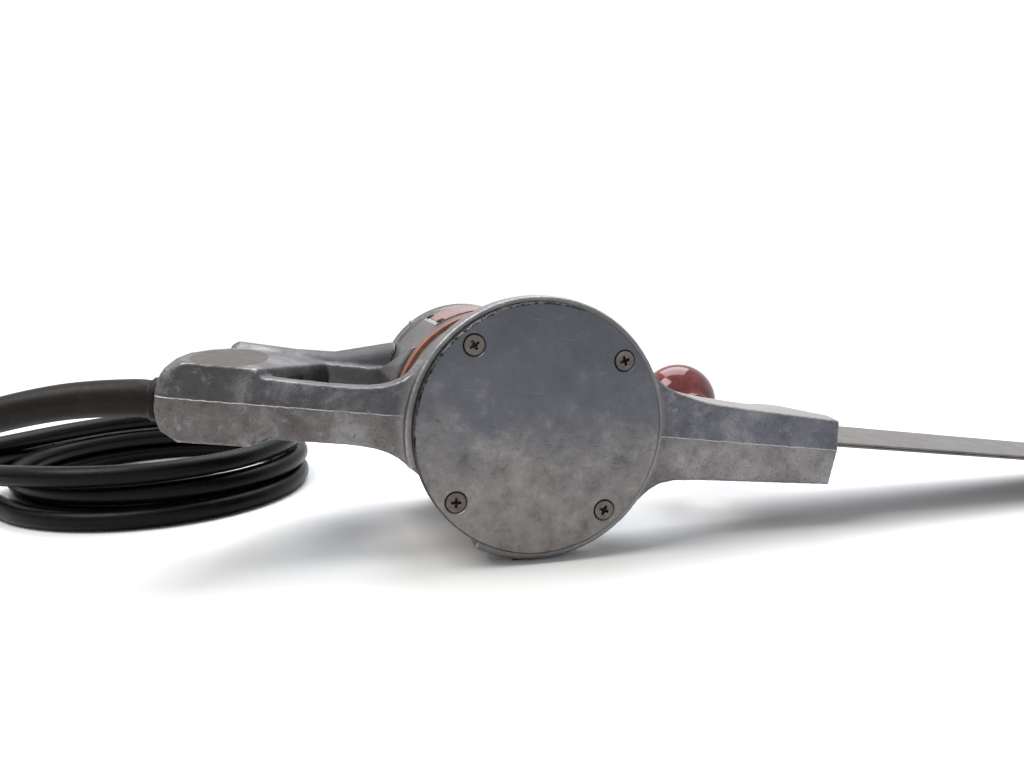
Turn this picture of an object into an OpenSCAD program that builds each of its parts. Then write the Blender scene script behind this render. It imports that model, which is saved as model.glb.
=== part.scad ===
// Corded power cutter with a cast D-handle body, a round gear case, a side knob and two long flat plates.
// The tool lies as it rests on a table: z = 0 is the table and the blade tip touches it.
// Tool parts are drawn square to the casting (x towards the blade, y along the drive axis) and then posed.

/* [Stance] */
// Angle by which the blade end hangs down while the tool rests, in degrees
tilt = 7.2; // [6.8:0.1:7.4]
// Height of the drive axis over the table
axis_h = 67.5; // [67:0.1:68]
// Distance from the cover's outer face to the origin on the front foot
foot_y = 18; // [16:1:20]

/* [Gear case] */
// Outer radius of the round gear cover
cover_r = 62; // [61:0.1:62.5]
// Thickness of the gear cover
cover_t = 5; // [4:0.1:5]
// Outer radius of the gear case rim
case_r = 65.9; // [65.5:0.1:66]
// Radius of the circle on which the cover screws lie
screw_circle_r = 53.5; // [53:0.1:54]
// Outer radius of the coloured ring behind the gear case
ring_r = 50; // [49.6:0.1:50.2]

/* [Motor] */
// Sideways distance from the cover's centre to the motor axis
motor_x = -17.7; // [-18:0.1:-17.5]
// Height of the motor axis against the cover's centre
motor_z = 4; // [3.8:0.1:4.2]
// Outer radius of the motor housing's barrel
barrel_r = 49.3; // [49.2:0.1:49.4]
// Outer radius of the rim at the housing's rear end
rear_rim_r = 50.4; // [50.2:0.1:50.6]

/* [Handle] */
// Distance from the drive axis to the handle's outer end
handle_end = 175.6; // [174:0.1:177]
// Height of the flat land on top of the grip
grip_top = 16.3; // [16:0.1:17]
// Height of the handle arms' top
arm_top = 12.6; // [12:0.1:13]

/* [Neck and blades] */
// Distance from the drive axis to the neck's end face
neck_end = 174; // [172:0.5:176]
// Thickness of each blade
blade_t = 1.1; // [0.9:0.1:1.1]
// Gap between the two blades
blade_gap = 0.4; // [0.3:0.05:0.5]
// Half of the moving blade's stroke, which is the crank's radius
crank_r = 10; // [8:0.5:10]

/* [Knob] */
// Radius of the ball knob
knob_r = 24.6; // [24:0.1:25]
// Depth of the ball's centre
knob_y = 95; // [93:1:97]

/* [Cord] */
// Diameter of the cord
cord_d = 12; // [11:0.1:12]
// Radius of the coil's outermost turn, at the cord's middle
coil_r = 94.5; // [94:0.5:95.5]
// Distance between neighbouring turns of a layer
coil_pitch = 12.7; // [12.6:0.1:13]

/* [Hidden] */
$fn = 64;
eps = 0.01;

// gear case
case_front = cover_t + 0.5;
case_bore_r = 56;
rim_back = 18;
spigot_r = 48.2;
spigot_back = 29;
chamber_r = 45.5;
case_x = 0.6;
case_z = -1.1;
screw_angles = [45, 135, 225, 315];
cross_angles = [20, 8, 40, 62];
foot_x0 = -12;
foot_x1 = 10;
foot_half = 9;
foot_h = 2.2;
arm_screw_x = -75.5;

// motor
ring_front = 26.5;
barrel_front = 37;
plate_back = 34;
rim_front = 105;
barrel_back = 116;
lug_r = 46;
bore_r = 42.5;
recess_r = 46;
brush_y = 126;
plate_r = 50.1;
pad_r = 49.6;

// gears
gear_m = 1;
pinion_n = 10;
gear_n = 38;
gear_x = motor_x + gear_m * (pinion_n + gear_n) / 2;
gear_z = motor_z;
gear_y0 = 20.5;
gear_y1 = 28;
bush_r = 8;
pin_play = 0.4;
yoke_y0 = 13.6;
yoke_y1 = 18;

// blades
blade_z = 3.9;
upper_z0 = blade_z - blade_t;
lower_z0 = upper_z0 - blade_gap - blade_t;
blade_near_y = 14;
blade_far_y = 82.5;
blade_near_tip_y = 30;
blade_tip = (axis_h + lower_z0 * cos(tilt)) / sin(tilt) - 0.1;
bed_screws = [[160, 52], [160, 64]];
neck_screw = [150, 34];
rivet_x = [122, 140];
rivet_y = 15.8;

// handle
knob_x = 118;
knob_z = 8.1;
edge_turn = -20.6;
edge_start = [-125.9, 22];
trigger_s0 = 10;
trigger_s1 = 38;
switch_face = -26.5;
handle_screw_at = [[-142.5, 22.5], [-143.5, 90]];
bar_y = 106;
entry_y = 27;
entry_z = -4;

// cord
cord_r = cord_d / 2;
coil_turns = 2.82;
coil_centre = [-208, 182.5];
coil_start_angle = 150;
layer_low = cord_r + 0.05;
layer_high = layer_low + cord_d + 0.5;
coil_sides = 6;
tube_sides = 8;

// ---- placing helpers -------------------------------------------------------------------------

// Turns the square-drawn tool into its resting pose
module posed() {
    translate([0, -foot_y, axis_h]) rotate([0, tilt, 0]) children();
}
function to_rest(p) = [
    p[0] * cos(tilt) + p[2] * sin(tilt),
    p[1] - foot_y,
    axis_h - p[0] * sin(tilt) + p[2] * cos(tilt)
];

function unit(v) = v / norm(v);

// The rear rubber foot, let into the end cap's cast leg
rear_foot_x = to_rest([motor_x, 0, motor_z])[0];
rear_foot_a = [rear_foot_x - 11, barrel_back + 1.5 - foot_y, 0];
rear_foot_b = [rear_foot_x + 11, barrel_back + 12.5 - foot_y, 3];

// Cylinder along y
module ycyl(r, y0, y1, x = 0, z = 0) {
    translate([x, y0, z]) rotate([-90, 0, 0]) cylinder(r = r, h = y1 - y0);
}

// Cone along y, from radius r0 at y0 to r1 at y1
module ycone(r0, r1, y0, y1, x = 0, z = 0) {
    translate([x, y0, z]) rotate([-90, 0, 0]) cylinder(r1 = r0, r2 = r1, h = y1 - y0);
}

// Cylinder along x
module xcyl(r, x0, x1, y = 0, z = 0) {
    translate([x0, y, z]) rotate([0, 90, 0]) cylinder(r = r, h = x1 - x0);
}

// Cylinder along z
module zcyl(r, z0, z1, x = 0, y = 0) {
    translate([x, y, z0]) cylinder(r = r, h = z1 - z0);
}

// A front-view outline carried from y0 to y1
module front_plate(y0, y1) {
    translate([0, y1, 0]) rotate([90, 0, 0]) linear_extrude(height = y1 - y0) children();
}

// A plan outline carried from z0 to z1
module plan_plate(z0, z1) {
    translate([0, 0, z0]) linear_extrude(height = z1 - z0) children();
}

// Box between two corners
module block(a, b) {
    translate(a) cube(b - a);
}

// Puts a y-wise shape at each angle of a circle round an axis
module on_circle(r, angles, x = 0, z = 0) {
    for (a = angles) translate([x + r * cos(a), 0, z + r * sin(a)]) children();
}

// Puts a shape drawn at the right of the motor axis at angle a round it
module round_motor(a) {
    translate([motor_x, 0, motor_z]) rotate([0, -a, 0]) children();
}

// Cylinder along y on the motor axis
module mcyl(r, y0, y1) {
    ycyl(r, y0, y1, motor_x, motor_z);
}

// Frame on the grip's inner edge: x out into the finger gap, y along the edge
module at_grip_edge() {
    translate([edge_start[0], edge_start[1], 0]) rotate([0, 0, edge_turn]) children();
}

// ---- gear outline ----------------------------------------------------------------------------

function inv(a) = tan(a) * 180 / PI - a;
function half_angle(r, n, play) =
    let (rp = gear_m * n / 2, rb = rp * cos(20), a = r > rb ? acos(rb / r) : 0)
    90 / n - play / rp * 90 / PI + inv(20) - inv(a);
function tooth(n, top, foot, play) =
    let (rp = gear_m * n / 2, radii = [rp - foot, rp - foot * 0.4, rp + top * 0.35, rp + top])
    concat(
        [for (r = radii) [r, -half_angle(r, n, play)]],
        [for (i = [3:-1:0]) [radii[i], half_angle(radii[i], n, play)]]
    );
module gear_outline(n, top, foot, play, turn) {
    polygon([
        for (i = [0:n - 1]) for (p = tooth(n, top, foot, play))
            [p[0] * cos(p[1] + turn + 360 * i / n), p[0] * sin(p[1] + turn + 360 * i / n)]
    ]);
}

// ---- gear case and cover ---------------------------------------------------------------------

module gear_cover() {
    color("slategray") posed() difference() {
        union() {
            ycone(cover_r - 0.8, cover_r, 0, 0.8);
            ycyl(cover_r, 0.8, cover_t);
        }
        on_circle(screw_circle_r, screw_angles) {
            ycyl(2.6, -1, cover_t + 1);
            ycone(5.9, 2.6, 0, 3.3);
            ycyl(5.9, -1, 0);
        }
    }
}

module cover_screws() {
    color("dimgray") posed() for (i = [0:3]) rotate([0, -screw_angles[i], 0])
        translate([screw_circle_r, 0, 0]) rotate([0, cross_angles[i], 0]) difference() {
            union() {
                ycyl(4.8, 0.3, 1.1);
                ycone(4.8, 2.6, 1.1, 3.3);
                ycyl(2.1, 3.2, 14);
            }
            block([-2.5, 0, -0.7], [2.5, 2, 0.7]);
            block([-0.7, 0, -2.5], [0.7, 2, 2.5]);
            ycone(1.5, 0.7, 0, 3);
        }
}

module cover_gasket() {
    color("black") posed() difference() {
        ycyl(cover_r + 0.3, cover_t, case_front);
        ycyl(49, cover_t - 1, cover_t + 1);
        on_circle(screw_circle_r, screw_angles) ycyl(2.1, cover_t - 1, cover_t + 1);
    }
}

// Front-view outline of the front arm, which flares into the round case
module arm_outline() {
    polygon([
        [-134, -15.8], [-90, -15.8], [-82, -16.3], [-76.3, -17.1], [-70.3, -18.7], [-65.6, -20.9],
        [-62.6, -23], [-60, -25], [-50, -32], [-50, 30], [-61, 26], [-63, 22.6], [-65.3, 19.4],
        [-68.4, 16.9], [-72.5, 14.7], [-77, 13.2], [-82.5, 12.2], [-90, 11.7], [-104, 11.5],
        [-118, 11.8], [-134, arm_top]
    ]);
}

// Plan outlines of the grip: at mid height, and of the flat land on its top
grip_low = [
    [-171, 10], [-130.4, 10], [-99.6, 92], [-99.6, 115], [-141, 115],
    [-149, 110], [-154, 98], [-163, 80], [-171, 54], [-handle_end, 39], [-handle_end, 13]
];
grip_land = [
    [-164, 10], [-134, 10], [-134, 47], [-128, 80], [-133, 92], [-142, 95], [-152, 90],
    [-162, 70], [-167, 52], [-169, 26]
];
// Plan of the plate that closes the grip's hollow from below
cover_plan = [
    [-161, 16], [-137.5, 16], [-137.5, 46], [-132, 82], [-135, 93], [-143, 97], [-150, 92],
    [-158.5, 70], [-163, 50], [-164.5, 28]
];

function clamped(shape, inset) = [for (p = shape) [max(p[0], inset - handle_end), p[1]]];

module grip_solid() {
    hull() {
        plan_plate(-6, 3) polygon(grip_low);
        plan_plate(-12, 9.3) offset(delta = -0.9) polygon(clamped(grip_low, 0.6));
        plan_plate(-15.8, arm_top) offset(delta = -2) polygon(clamped(grip_low, 1.2));
        plan_plate(-19, grip_top) polygon(grip_land);
        plan_plate(-20, 0) polygon(clamped(grip_land, 11.6));
    }
}

// The rounded bar that dips behind the grip and rises to the boss on the motor housing
bar_run = [[-149, 11.4, 7.4], [-118, 12, 5.7], [-96, 12, 6.4], [-63, 12, 15.3]];
module bar_slice(p) {
    xcyl(p[1], p[0] - 1, p[0], bar_y, p[2], $fn = 32);
}
module rear_bar() {
    hull() {
        xcyl(8.6, -153.4, -150, bar_y, bar_run[0][2], $fn = 32);
        bar_slice(bar_run[0]);
        bar_slice(bar_run[1]);
    }
    for (i = [2:len(bar_run) - 1]) hull() {
        bar_slice(bar_run[i - 1]);
        bar_slice(bar_run[i]);
    }
}

module rear_arm() {
    front_plate(91, 115) polygon([[-145, -15.8], [-66, -15.8], [-63, -14], [-63, 14], [-78, arm_top], [-145, arm_top]]);
    rear_bar();
}

module neck_solid() {
    difference() {
        front_plate(10, 42) polygon([
            [40, -34], [58, -37], [61, -33.7], [65.9, -28.6], [71.2, -25.6], [79.4, -23.3], [93.9, -22.2],
            [130, -21.2], [neck_end, -19.9], [neck_end + 1.5, 0], [neck_end, 17.8], [122, 19.5],
            [98.5, 20.6], [86.6, 21.6], [74.8, 23.5], [67.6, 26], [63.2, 28.7], [59.2, 33], [40, 36]
        ]);
        // top corner cut away behind the neck's end
        plan_plate(7, 30) polygon([[155.5, 43], [169, 24], [180, 20], [180, 43]]);
    }
    // bed that carries the blades behind the neck
    plan_plate(-9, 9) polygon([[134, 41], [neck_end, 41], [neck_end, 80], [170, 84], [150, 84], [134, 68]]);
}

// Room inside the case for the gears, with bosses left for the cover's screws
module gear_chamber() {
    difference() {
        ycyl(case_bore_r, 0, rim_back - 2);
        on_circle(screw_circle_r, screw_angles) ycyl(6, case_front, rim_back);
    }
    mcyl(chamber_r, rim_back - 3, spigot_back + 1);
    intersection() {
        ycyl(case_bore_r, 0, 30);
        block([20, 0, -24], [70, rim_back + 0.4, 24]);
    }
}

// The rim is flush with the cover between the front arm and the foot
module case_recess() {
    difference() {
        front_plate(0, 30) polygon([[0, 0], [-90, -37], [-90, -100], [-39, -96]]);
        ycyl(cover_r - 0.3, -1, 31);
    }
}

// Room outside the spigot for the ring and the motor housing
module motor_room() {
    difference() {
        mcyl(ring_r + 0.5, ring_front - 1, 60);
        mcyl(spigot_r, 20, spigot_back);
    }
}

module gear_case() {
    color("darkgray") difference() {
        union() {
            posed() difference() {
                union() {
                    difference() {
                        ycyl(case_r, case_front, rim_back, case_x, case_z);
                        case_recess();
                    }
                    mcyl(spigot_r, rim_back - 1, spigot_back);
                    difference() {
                        union() {
                            front_plate(10, 22) arm_outline();
                            neck_solid();
                        }
                        motor_room();
                    }
                    grip_solid();
                    rear_arm();
                    // boss of the knob
                    ycyl(7, 41, 64, knob_x, knob_z);
                }
                gear_chamber();
                on_circle(screw_circle_r, screw_angles) ycyl(2.1, 0, 14.5);
                // way through the neck for the yoke's tongue and the blades
                block([40, yoke_y0 - 0.4, blade_z - 0.5], [165, yoke_y1 + 0.4, 11]);
                block([105, blade_near_y - 0.6, lower_z0], [200, 90, blade_z + 0.5]);
                for (p = bed_screws) zcyl(2.5, -12, 12, p[0], p[1]);
                zcyl(2.5, -20, 9, neck_screw[0], neck_screw[1]);
                zcyl(4.6, -24, -17, neck_screw[0], neck_screw[1]);
                ycyl(3, 36, 70, knob_x, knob_z);
                grip_hollow();
                // hollow end that fits round the motor housing, and the pocket for its lug
                mcyl(barrel_r, 80, rim_front + 1);
                mcyl(rear_rim_r, rim_front, 120);
                block([-83, rim_front, -12], [-60, 120, 14]);
                for (z = [-6, 8]) ycyl(2.1, 98, 107, arm_screw_x, z);
            }
            // lug that carries the front foot under the ring
            block([foot_x0 - 1, -6, 0.6], [foot_x1 + 1, foot_half, 7]);
        }
        // flat under the rim, and the seat for the rubber foot
        block([-60, -20, -10], [60, 30, 0.6]);
        block([foot_x0, -foot_half, -1], [foot_x1, foot_half + 1, foot_h]);
    }
}

module grip_hollow() {
    difference() {
        plan_plate(-17, 9) offset(delta = -2.5) polygon(cover_plan);
        for (p = handle_screw_at) zcyl(4.5, -17, 10, p[0], p[1]);
    }
    plan_plate(-21, -17) polygon(cover_plan);
    for (p = handle_screw_at) zcyl(1.75, -18, -6.5, p[0], p[1]);
    at_grip_edge() block([-27, trigger_s0 - 0.4, -7.4], [6, trigger_s1 + 0.4, 7.4]);
    xcyl(8, -190, -170, entry_y, entry_z);
    xcyl(cord_r + 0.2, -175, -155, entry_y, entry_z);
}

module case_ring() {
    color("chocolate") posed() difference() {
        mcyl(ring_r, ring_front, barrel_front);
        mcyl(spigot_r, 20, 40);
    }
}

module front_foot() {
    color("black") block([foot_x0, -foot_half, 0], [foot_x1, foot_half, foot_h]);
}

// ---- motor -----------------------------------------------------------------------------------

module bearing_plate() {
    color("silver") posed() difference() {
        union() {
            mcyl(recess_r, spigot_back, plate_back);
            mcyl(13.8, plate_back - 1, 41);
        }
        mcyl(11, 33, 42);
        mcyl(7, 20, 42);
        ycyl(bush_r, 20, 42, gear_x, gear_z);
        for (a = [60:60:300]) round_motor(a) ycyl(5.5, 20, 42, 33, 0);
    }
}

// Wall on the barrel that closes the finger gap; its top edge climbs towards the ring
module finger_wall() {
    hull() {
        front_plate(barrel_front, barrel_front + 1) polygon([
            [-69.5, -15.8], [-69.5, 12], [-66.8, 22], [-61.5, 31.4], [-50, 31.4], [-50, -15.8]
        ]);
        front_plate(90, 91) polygon([[-72, -15.8], [-72, 12.3], [-64, 14], [-50, 14], [-50, -15.8]]);
    }
}

module motor_housing() {
    color("gray") posed() difference() {
        union() {
            // nose that carries the ring
            mcyl(spigot_r, spigot_back, barrel_front + 1);
            mcyl(barrel_r, barrel_front, barrel_back);
            mcyl(rear_rim_r, rim_front, barrel_back);
            // raised pad under the nameplate
            intersection() {
                mcyl(pad_r, 46.5, 95);
                block([motor_x - 33.5, 40, motor_z], [motor_x + 23, 110, motor_z + 60]);
            }
            // boss that the rear handle bar butts against, its screw lug, and a small lug on the rim
            xcyl(11.9, -63, -55, bar_y - 2, 15.3);
            finger_wall();
            block([-82.6, rim_front, -11.7], [-60, 115, 13.7]);
            round_motor(136) ycyl(1.6, 109, 115, rear_rim_r, 0);
        }
        mcyl(bore_r, plate_back, 120);
        mcyl(recess_r, 20, plate_back);
        on_circle(lug_r, screw_angles, motor_x, motor_z) ycyl(2.1, 100, 120);
        for (z = [-6, 8]) {
            ycyl(2.4, 100, 120, arm_screw_x, z);
            ycone(2.1, 4, 112.9, 115, arm_screw_x, z);
        }
        for (a = rivet_angles) for (y = rivet_ys) round_motor(a) xcyl(1.2, bore_r + 4, 60, y, 0);
        // cooling slots under the barrel
        for (a = [-110:14:-54]) round_motor(a) block([bore_r - 3, 52, -2], [60, 84, 2]);
    }
}

module housing_screws() {
    color("dimgray") posed() for (z = [-6, 8]) difference() {
        union() {
            ycyl(2.1, 98.5, 113, arm_screw_x, z);
            ycone(2.1, 4, 112.9, 115, arm_screw_x, z);
        }
        block([arm_screw_x - 3.5, 114, z - 0.4], [arm_screw_x + 3.5, 116, z + 0.4]);
    }
}

module end_cap() {
    color("gray") difference() {
        union() {
            posed() {
                mcyl(49.2, barrel_back, 117.2);
                mcyl(rear_rim_r, 117, 121);
                ycone(48.5, 41, 120.9, 134, motor_x, motor_z);
                mcyl(16, 133, 139);
                // housings of the two brushes
                for (s = [-1, 1]) xcyl(8, motor_x + s * 42.9 - 7.3, motor_x + s * 42.9 + 7.3, brush_y, motor_z);
            }
            // cast leg over the rear foot
            block(rear_foot_a - [3, 1, -1], rear_foot_b + [3, 1, 32]);
        }
        posed() end_cap_room();
        block(rear_foot_a, rear_foot_b);
    }
}

// The hollow of the end cap: bearing seat, brush bores, screw holes and air slots
module end_cap_room() {
    mcyl(bore_r, barrel_back - 1, 120);
    ycone(bore_r, 36, 119.9, 130, motor_x, motor_z);
    mcyl(11, 125, 136);
    mcyl(5, 125, 140);
    on_circle(lug_r, screw_angles, motor_x, motor_z) {
        ycyl(2.4, 110, 140);
        ycyl(4.4, 121, 140);
    }
    for (s = [-1, 1]) xcyl(5.5, motor_x + s * 34 - 18, motor_x + s * 34 + 18, brush_y, motor_z);
    for (a = [30:30:330]) if (a % 90 != 0) round_motor(a) block([20, 125, -2.2], [32, 140, 2.2]);
}

module rear_foot() {
    color("black") block(rear_foot_a, rear_foot_b);
}

module end_cap_screws() {
    color("dimgray") posed() on_circle(lug_r, screw_angles, motor_x, motor_z) difference() {
        union() {
            ycyl(2.1, 101, 121.1);
            ycyl(3.9, 121, 124);
        }
        block([-5, 122.6, -0.5], [5, 125, 0.5]);
    }
}

// A ball bearing as one ring with its grease groove
module ball_bearing(r_in, y0, y1) {
    difference() {
        mcyl(11, y0, y1);
        mcyl(r_in, y0 - 1, y1 + 1);
        difference() {
            mcyl(9.2, y1 - 0.5, y1 + 1);
            mcyl(6.9, y1 - 1, y1 + 2);
        }
    }
}

module front_bearing() {
    color("lightgray") posed() ball_bearing(5.03, 33, 40);
}

module rear_bearing() {
    color("lightgray") posed() ball_bearing(4.03, 129, 136);
}

module armature_shaft() {
    color("silver") posed() union() {
        mcyl(2.5, 19.4, 28.3);
        mcyl(5, 28.3, 128.3);
        mcyl(4, 128.3, 137);
    }
}

module armature_core() {
    color("darkslategray") posed() difference() {
        mcyl(24, 58, 100);
        mcyl(5, 50, 110);
        for (a = [0:30:330]) round_motor(a) block([19.5, 57, -1.2], [25, 101, 1.2]);
    }
}

module armature_winding() {
    color("peru") posed() for (y = [50, 100]) difference() {
        mcyl(21.5, y, y + 8);
        mcyl(5, y - 1, y + 9);
    }
}

module commutator() {
    color("goldenrod") posed() difference() {
        mcyl(13, 112, 127);
        mcyl(5, 110, 130);
        for (a = [0:30:330]) round_motor(a) block([12, 114, -0.3], [14, 128, 0.3]);
    }
}

module cooling_fan() {
    color("silver") posed() difference() {
        union() {
            mcyl(35, 43.2, 44.7);
            mcyl(10, 44, 49.2);
            for (a = [0:40:320]) round_motor(a) block([9, 44, -0.7], [34, 49.2, 0.7]);
        }
        mcyl(5, 40, 52);
    }
}

module motor_pinion() {
    color("silver") posed() difference() {
        translate([motor_x, 0, motor_z]) front_plate(gear_y0, gear_y1) gear_outline(pinion_n, 0.95, 1.1, 0.09, 0);
        mcyl(2.5, 10, 40);
    }
}

module field_core() {
    color("darkslategray") posed() difference() {
        mcyl(bore_r, 58, 100);
        mcyl(25, 50, 110);
        for (a = [0, 180]) round_motor(a) block([22, 50, -16], [36, 110, 16]);
    }
}

module field_coils() {
    color("peru") posed() for (s = [-1, 1]) for (y = [50.2, 100])
        intersection() {
            difference() {
                mcyl(39, y, y + 7.8);
                mcyl(26, y - 1, y + 9);
            }
            block([motor_x - 36, y, motor_z + s * 27 - 16], [motor_x + 36, y + 7.8, motor_z + s * 27 + 16]);
        }
}

module brush_holders() {
    color("saddlebrown") posed() for (s = [-1, 1]) difference() {
        xcyl(5.5, motor_x + s * 31 - 14, motor_x + s * 31 + 14, brush_y, motor_z);
        block([motor_x + s * 35 - 30, brush_y - 1.9, motor_z - 2.3], [motor_x + s * 35 + 30, brush_y + 1.9, motor_z + 2.3]);
    }
}

module carbon_brushes() {
    color("black") posed() for (s = [-1, 1])
        block([motor_x + s * 19 - 5.6, brush_y - 1.9, motor_z - 2.3], [motor_x + s * 19 + 5.6, brush_y + 1.9, motor_z + 2.3]);
}

module brush_springs() {
    color("silver") posed() for (s = [-1, 1]) difference() {
        xcyl(1.8, motor_x + s * 34.8 - 10.2, motor_x + s * 34.8 + 10.2, brush_y, motor_z);
        xcyl(1.2, motor_x + s * 34.8 - 11, motor_x + s * 34.8 + 11, brush_y, motor_z);
    }
}

module brush_caps() {
    color("black") posed() for (s = [-1, 1]) difference() {
        union() {
            xcyl(7.4, motor_x + s * 51.7 - 1.2, motor_x + s * 51.7 + 1.2, brush_y, motor_z);
            xcyl(5.5, motor_x + s * 48 - 3, motor_x + s * 48 + 3, brush_y, motor_z);
        }
        block([motor_x + s * 52.9 - 1, brush_y - 0.7, motor_z - 9], [motor_x + s * 52.9 + 1, brush_y + 0.7, motor_z + 9]);
    }
}

rivet_angles = [68.5, 125];
rivet_ys = [52.5, 89];
module nameplate() {
    color("indianred") posed() difference() {
        intersection() {
            mcyl(plate_r, 49, 93);
            block([motor_x + plate_r * cos(129), 40, motor_z + 30], [motor_x + plate_r * cos(65), 110, motor_z + 60]);
        }
        mcyl(pad_r, 40, 110);
        for (a = rivet_angles) for (y = rivet_ys) round_motor(a) xcyl(1.2, bore_r, 60, y, 0);
    }
}

module nameplate_rivets() {
    color("dimgray") posed() for (a = rivet_angles) for (y = rivet_ys) round_motor(a) {
        xcyl(1.2, bore_r + 4, plate_r + 0.1, y, 0);
        xcyl(2.3, plate_r, plate_r + 1, y, 0);
    }
}

// ---- drive -----------------------------------------------------------------------------------

module drive_gear() {
    color("silver") posed() difference() {
        translate([gear_x, 0, gear_z]) front_plate(gear_y0, gear_y1)
            gear_outline(gear_n, 0.8, 1.2, 0.09, 180 / gear_n);
        ycyl(5, 10, 40, gear_x, gear_z);
        for (a = [30, 150, 210, 270, 330]) ycyl(3, 10, 40, gear_x + 13 * cos(a), gear_z + 13 * sin(a));
        ycyl(3, 10, 40, gear_x, gear_z + crank_r);
    }
}

module gear_shaft() {
    color("gray") posed() union() {
        ycyl(5, gear_y0, 42, gear_x, gear_z);
        ycyl(7, 41.3, 42.2, gear_x, gear_z);
    }
}

module gear_bush() {
    color("darkgoldenrod") posed() difference() {
        union() {
            ycyl(bush_r, 28.7, 41, gear_x, gear_z);
            ycyl(10, plate_back, 36, gear_x, gear_z);
        }
        ycyl(5.05, 20, 50, gear_x, gear_z);
    }
}

module crank_pin() {
    color("dimgray") posed() union() {
        ycyl(3, gear_y0, gear_y1, gear_x, gear_z + crank_r);
        ycyl(4, yoke_y1 + pin_play, gear_y0, gear_x, gear_z + crank_r);
    }
}

module drive_yoke() {
    color("silver") posed() difference() {
        union() {
            block([gear_x - 9, yoke_y0, gear_z - 19], [gear_x + 9, yoke_y1, gear_z + 19]);
            block([gear_x + 8, yoke_y0, blade_z], [150, yoke_y1, blade_z + 6]);
        }
        block([gear_x - 4.1, yoke_y0 - 1, gear_z - 10.5], [gear_x + 4.1, yoke_y1 + 1, gear_z + 10.5]);
        for (s = [-1, 1]) ycyl(4.1, yoke_y0 - 1, yoke_y1 + 1, gear_x, gear_z + s * 10.5);
        for (x = rivet_x) zcyl(1.5, 0, 12, x, rivet_y);
    }
}

// Two bronze strips over which the yoke's tongue runs
module yoke_guide() {
    color("darkgoldenrod") posed() for (x = [72, 90])
        block([x, yoke_y1 + 0.1, blade_z - 0.5], [x + 10, yoke_y1 + 0.4, 11]);
}

// ---- blades ----------------------------------------------------------------------------------

// Plan of a blade: straight along its far edge, tapering on its near edge, round at the tip
module blade_plan(heel, tip) {
    slope = (blade_near_tip_y - blade_near_y) / (blade_tip - neck_end);
    near_tip = blade_near_y + slope * (tip - neck_end);
    polygon(concat(
        [[heel + 40, blade_far_y], [heel + 24, 66], [heel + 24, 46.5], [heel, 46.5]],
        [[heel, blade_near_y], [neck_end, blade_near_y]],
        [for (a = [-90:15:0]) [tip - 10 + 10 * cos(a), near_tip + 10 + 10 * sin(a)]],
        [for (a = [0:15:90]) [tip - 24 + 24 * cos(a), blade_far_y - 24 + 24 * sin(a)]]
    ));
}

module moving_blade() {
    color("lightgray") posed() difference() {
        plan_plate(upper_z0, blade_z) blade_plan(120, blade_tip - 14);
        for (x = rivet_x) zcyl(1.5, 0, 12, x, rivet_y);
        // slots that let the blade slide past the fixed screws
        for (p = concat(bed_screws, [neck_screw])) {
            block([p[0] - crank_r - 0.5, p[1] - 3, 0], [p[0] + crank_r + 0.5, p[1] + 3, 12]);
            for (s = [-1, 1]) zcyl(3, 0, 12, p[0] + s * (crank_r + 0.5), p[1]);
        }
    }
}

module blade_rivets() {
    color("gray") posed() for (x = rivet_x) zcyl(1.5, upper_z0, blade_z + 6.5, x, rivet_y);
}

module fixed_blade() {
    color("darkgray") posed() difference() {
        plan_plate(lower_z0, lower_z0 + blade_t) blade_plan(112, blade_tip);
        for (p = concat(bed_screws, [neck_screw])) zcyl(2.5, 0, 12, p[0], p[1]);
    }
}

module blade_screws() {
    color("dimgray") posed() {
        for (p = bed_screws) {
            zcyl(2.5, -9, 9, p[0], p[1]);
            zcyl(4.4, -12, -9, p[0], p[1]);
        }
        zcyl(2.5, -17, 9, neck_screw[0], neck_screw[1]);
        zcyl(4.4, -20, -17, neck_screw[0], neck_screw[1]);
    }
}

// ---- handle parts ----------------------------------------------------------------------------

module knob() {
    color("maroon") posed() translate([knob_x, 0, knob_z]) rotate([-90, 0, 0]) difference() {
        rotate_extrude() polygon(concat(
            [[0, knob_y - 26], [9, knob_y - 26], [9.5, knob_y - 24.5], [8, knob_y - 20]],
            [for (a = [-62:8:90]) [knob_r * cos(a), knob_y + knob_r * 0.86 * sin(a)]]
        ));
        translate([0, 0, 60]) cylinder(r = 3, h = 36);
    }
}

module knob_stud() {
    color("gray") posed() ycyl(3, 38, 95.5, knob_x, knob_z);
}

module knob_nut() {
    color("dimgray") posed() difference() {
        translate([knob_x, 64, knob_z]) rotate([-90, 0, 0]) cylinder(r = 6.3, h = knob_y - 26 - 64, $fn = 6);
        ycyl(3, 60, 80, knob_x, knob_z);
    }
}

module handle_cover() {
    color("gray") posed() difference() {
        plan_plate(-20, -17) polygon(cover_plan);
        for (p = handle_screw_at) zcyl(1.75, -22, -10, p[0], p[1]);
    }
}

module handle_screws() {
    color("dimgray") posed() for (p = handle_screw_at) difference() {
        union() {
            zcyl(1.75, -20, -7, p[0], p[1]);
            zcyl(3.4, -21.6, -20, p[0], p[1]);
        }
        block([p[0] - 5, p[1] - 0.4, -22], [p[0] + 5, p[1] + 0.4, -20.8]);
    }
}

module trigger() {
    color("black") posed() at_grip_edge() difference() {
        union() {
            block([-17, trigger_s0, -7], [2, trigger_s1, 7]);
            intersection() {
                zcyl(30, -7, 7, -20, (trigger_s0 + trigger_s1) / 2);
                block([0, trigger_s0, -7], [20, trigger_s1, 7]);
            }
        }
        xcyl(3.6, -18, -14, (trigger_s0 + trigger_s1) / 2, 0);
    }
}

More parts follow.
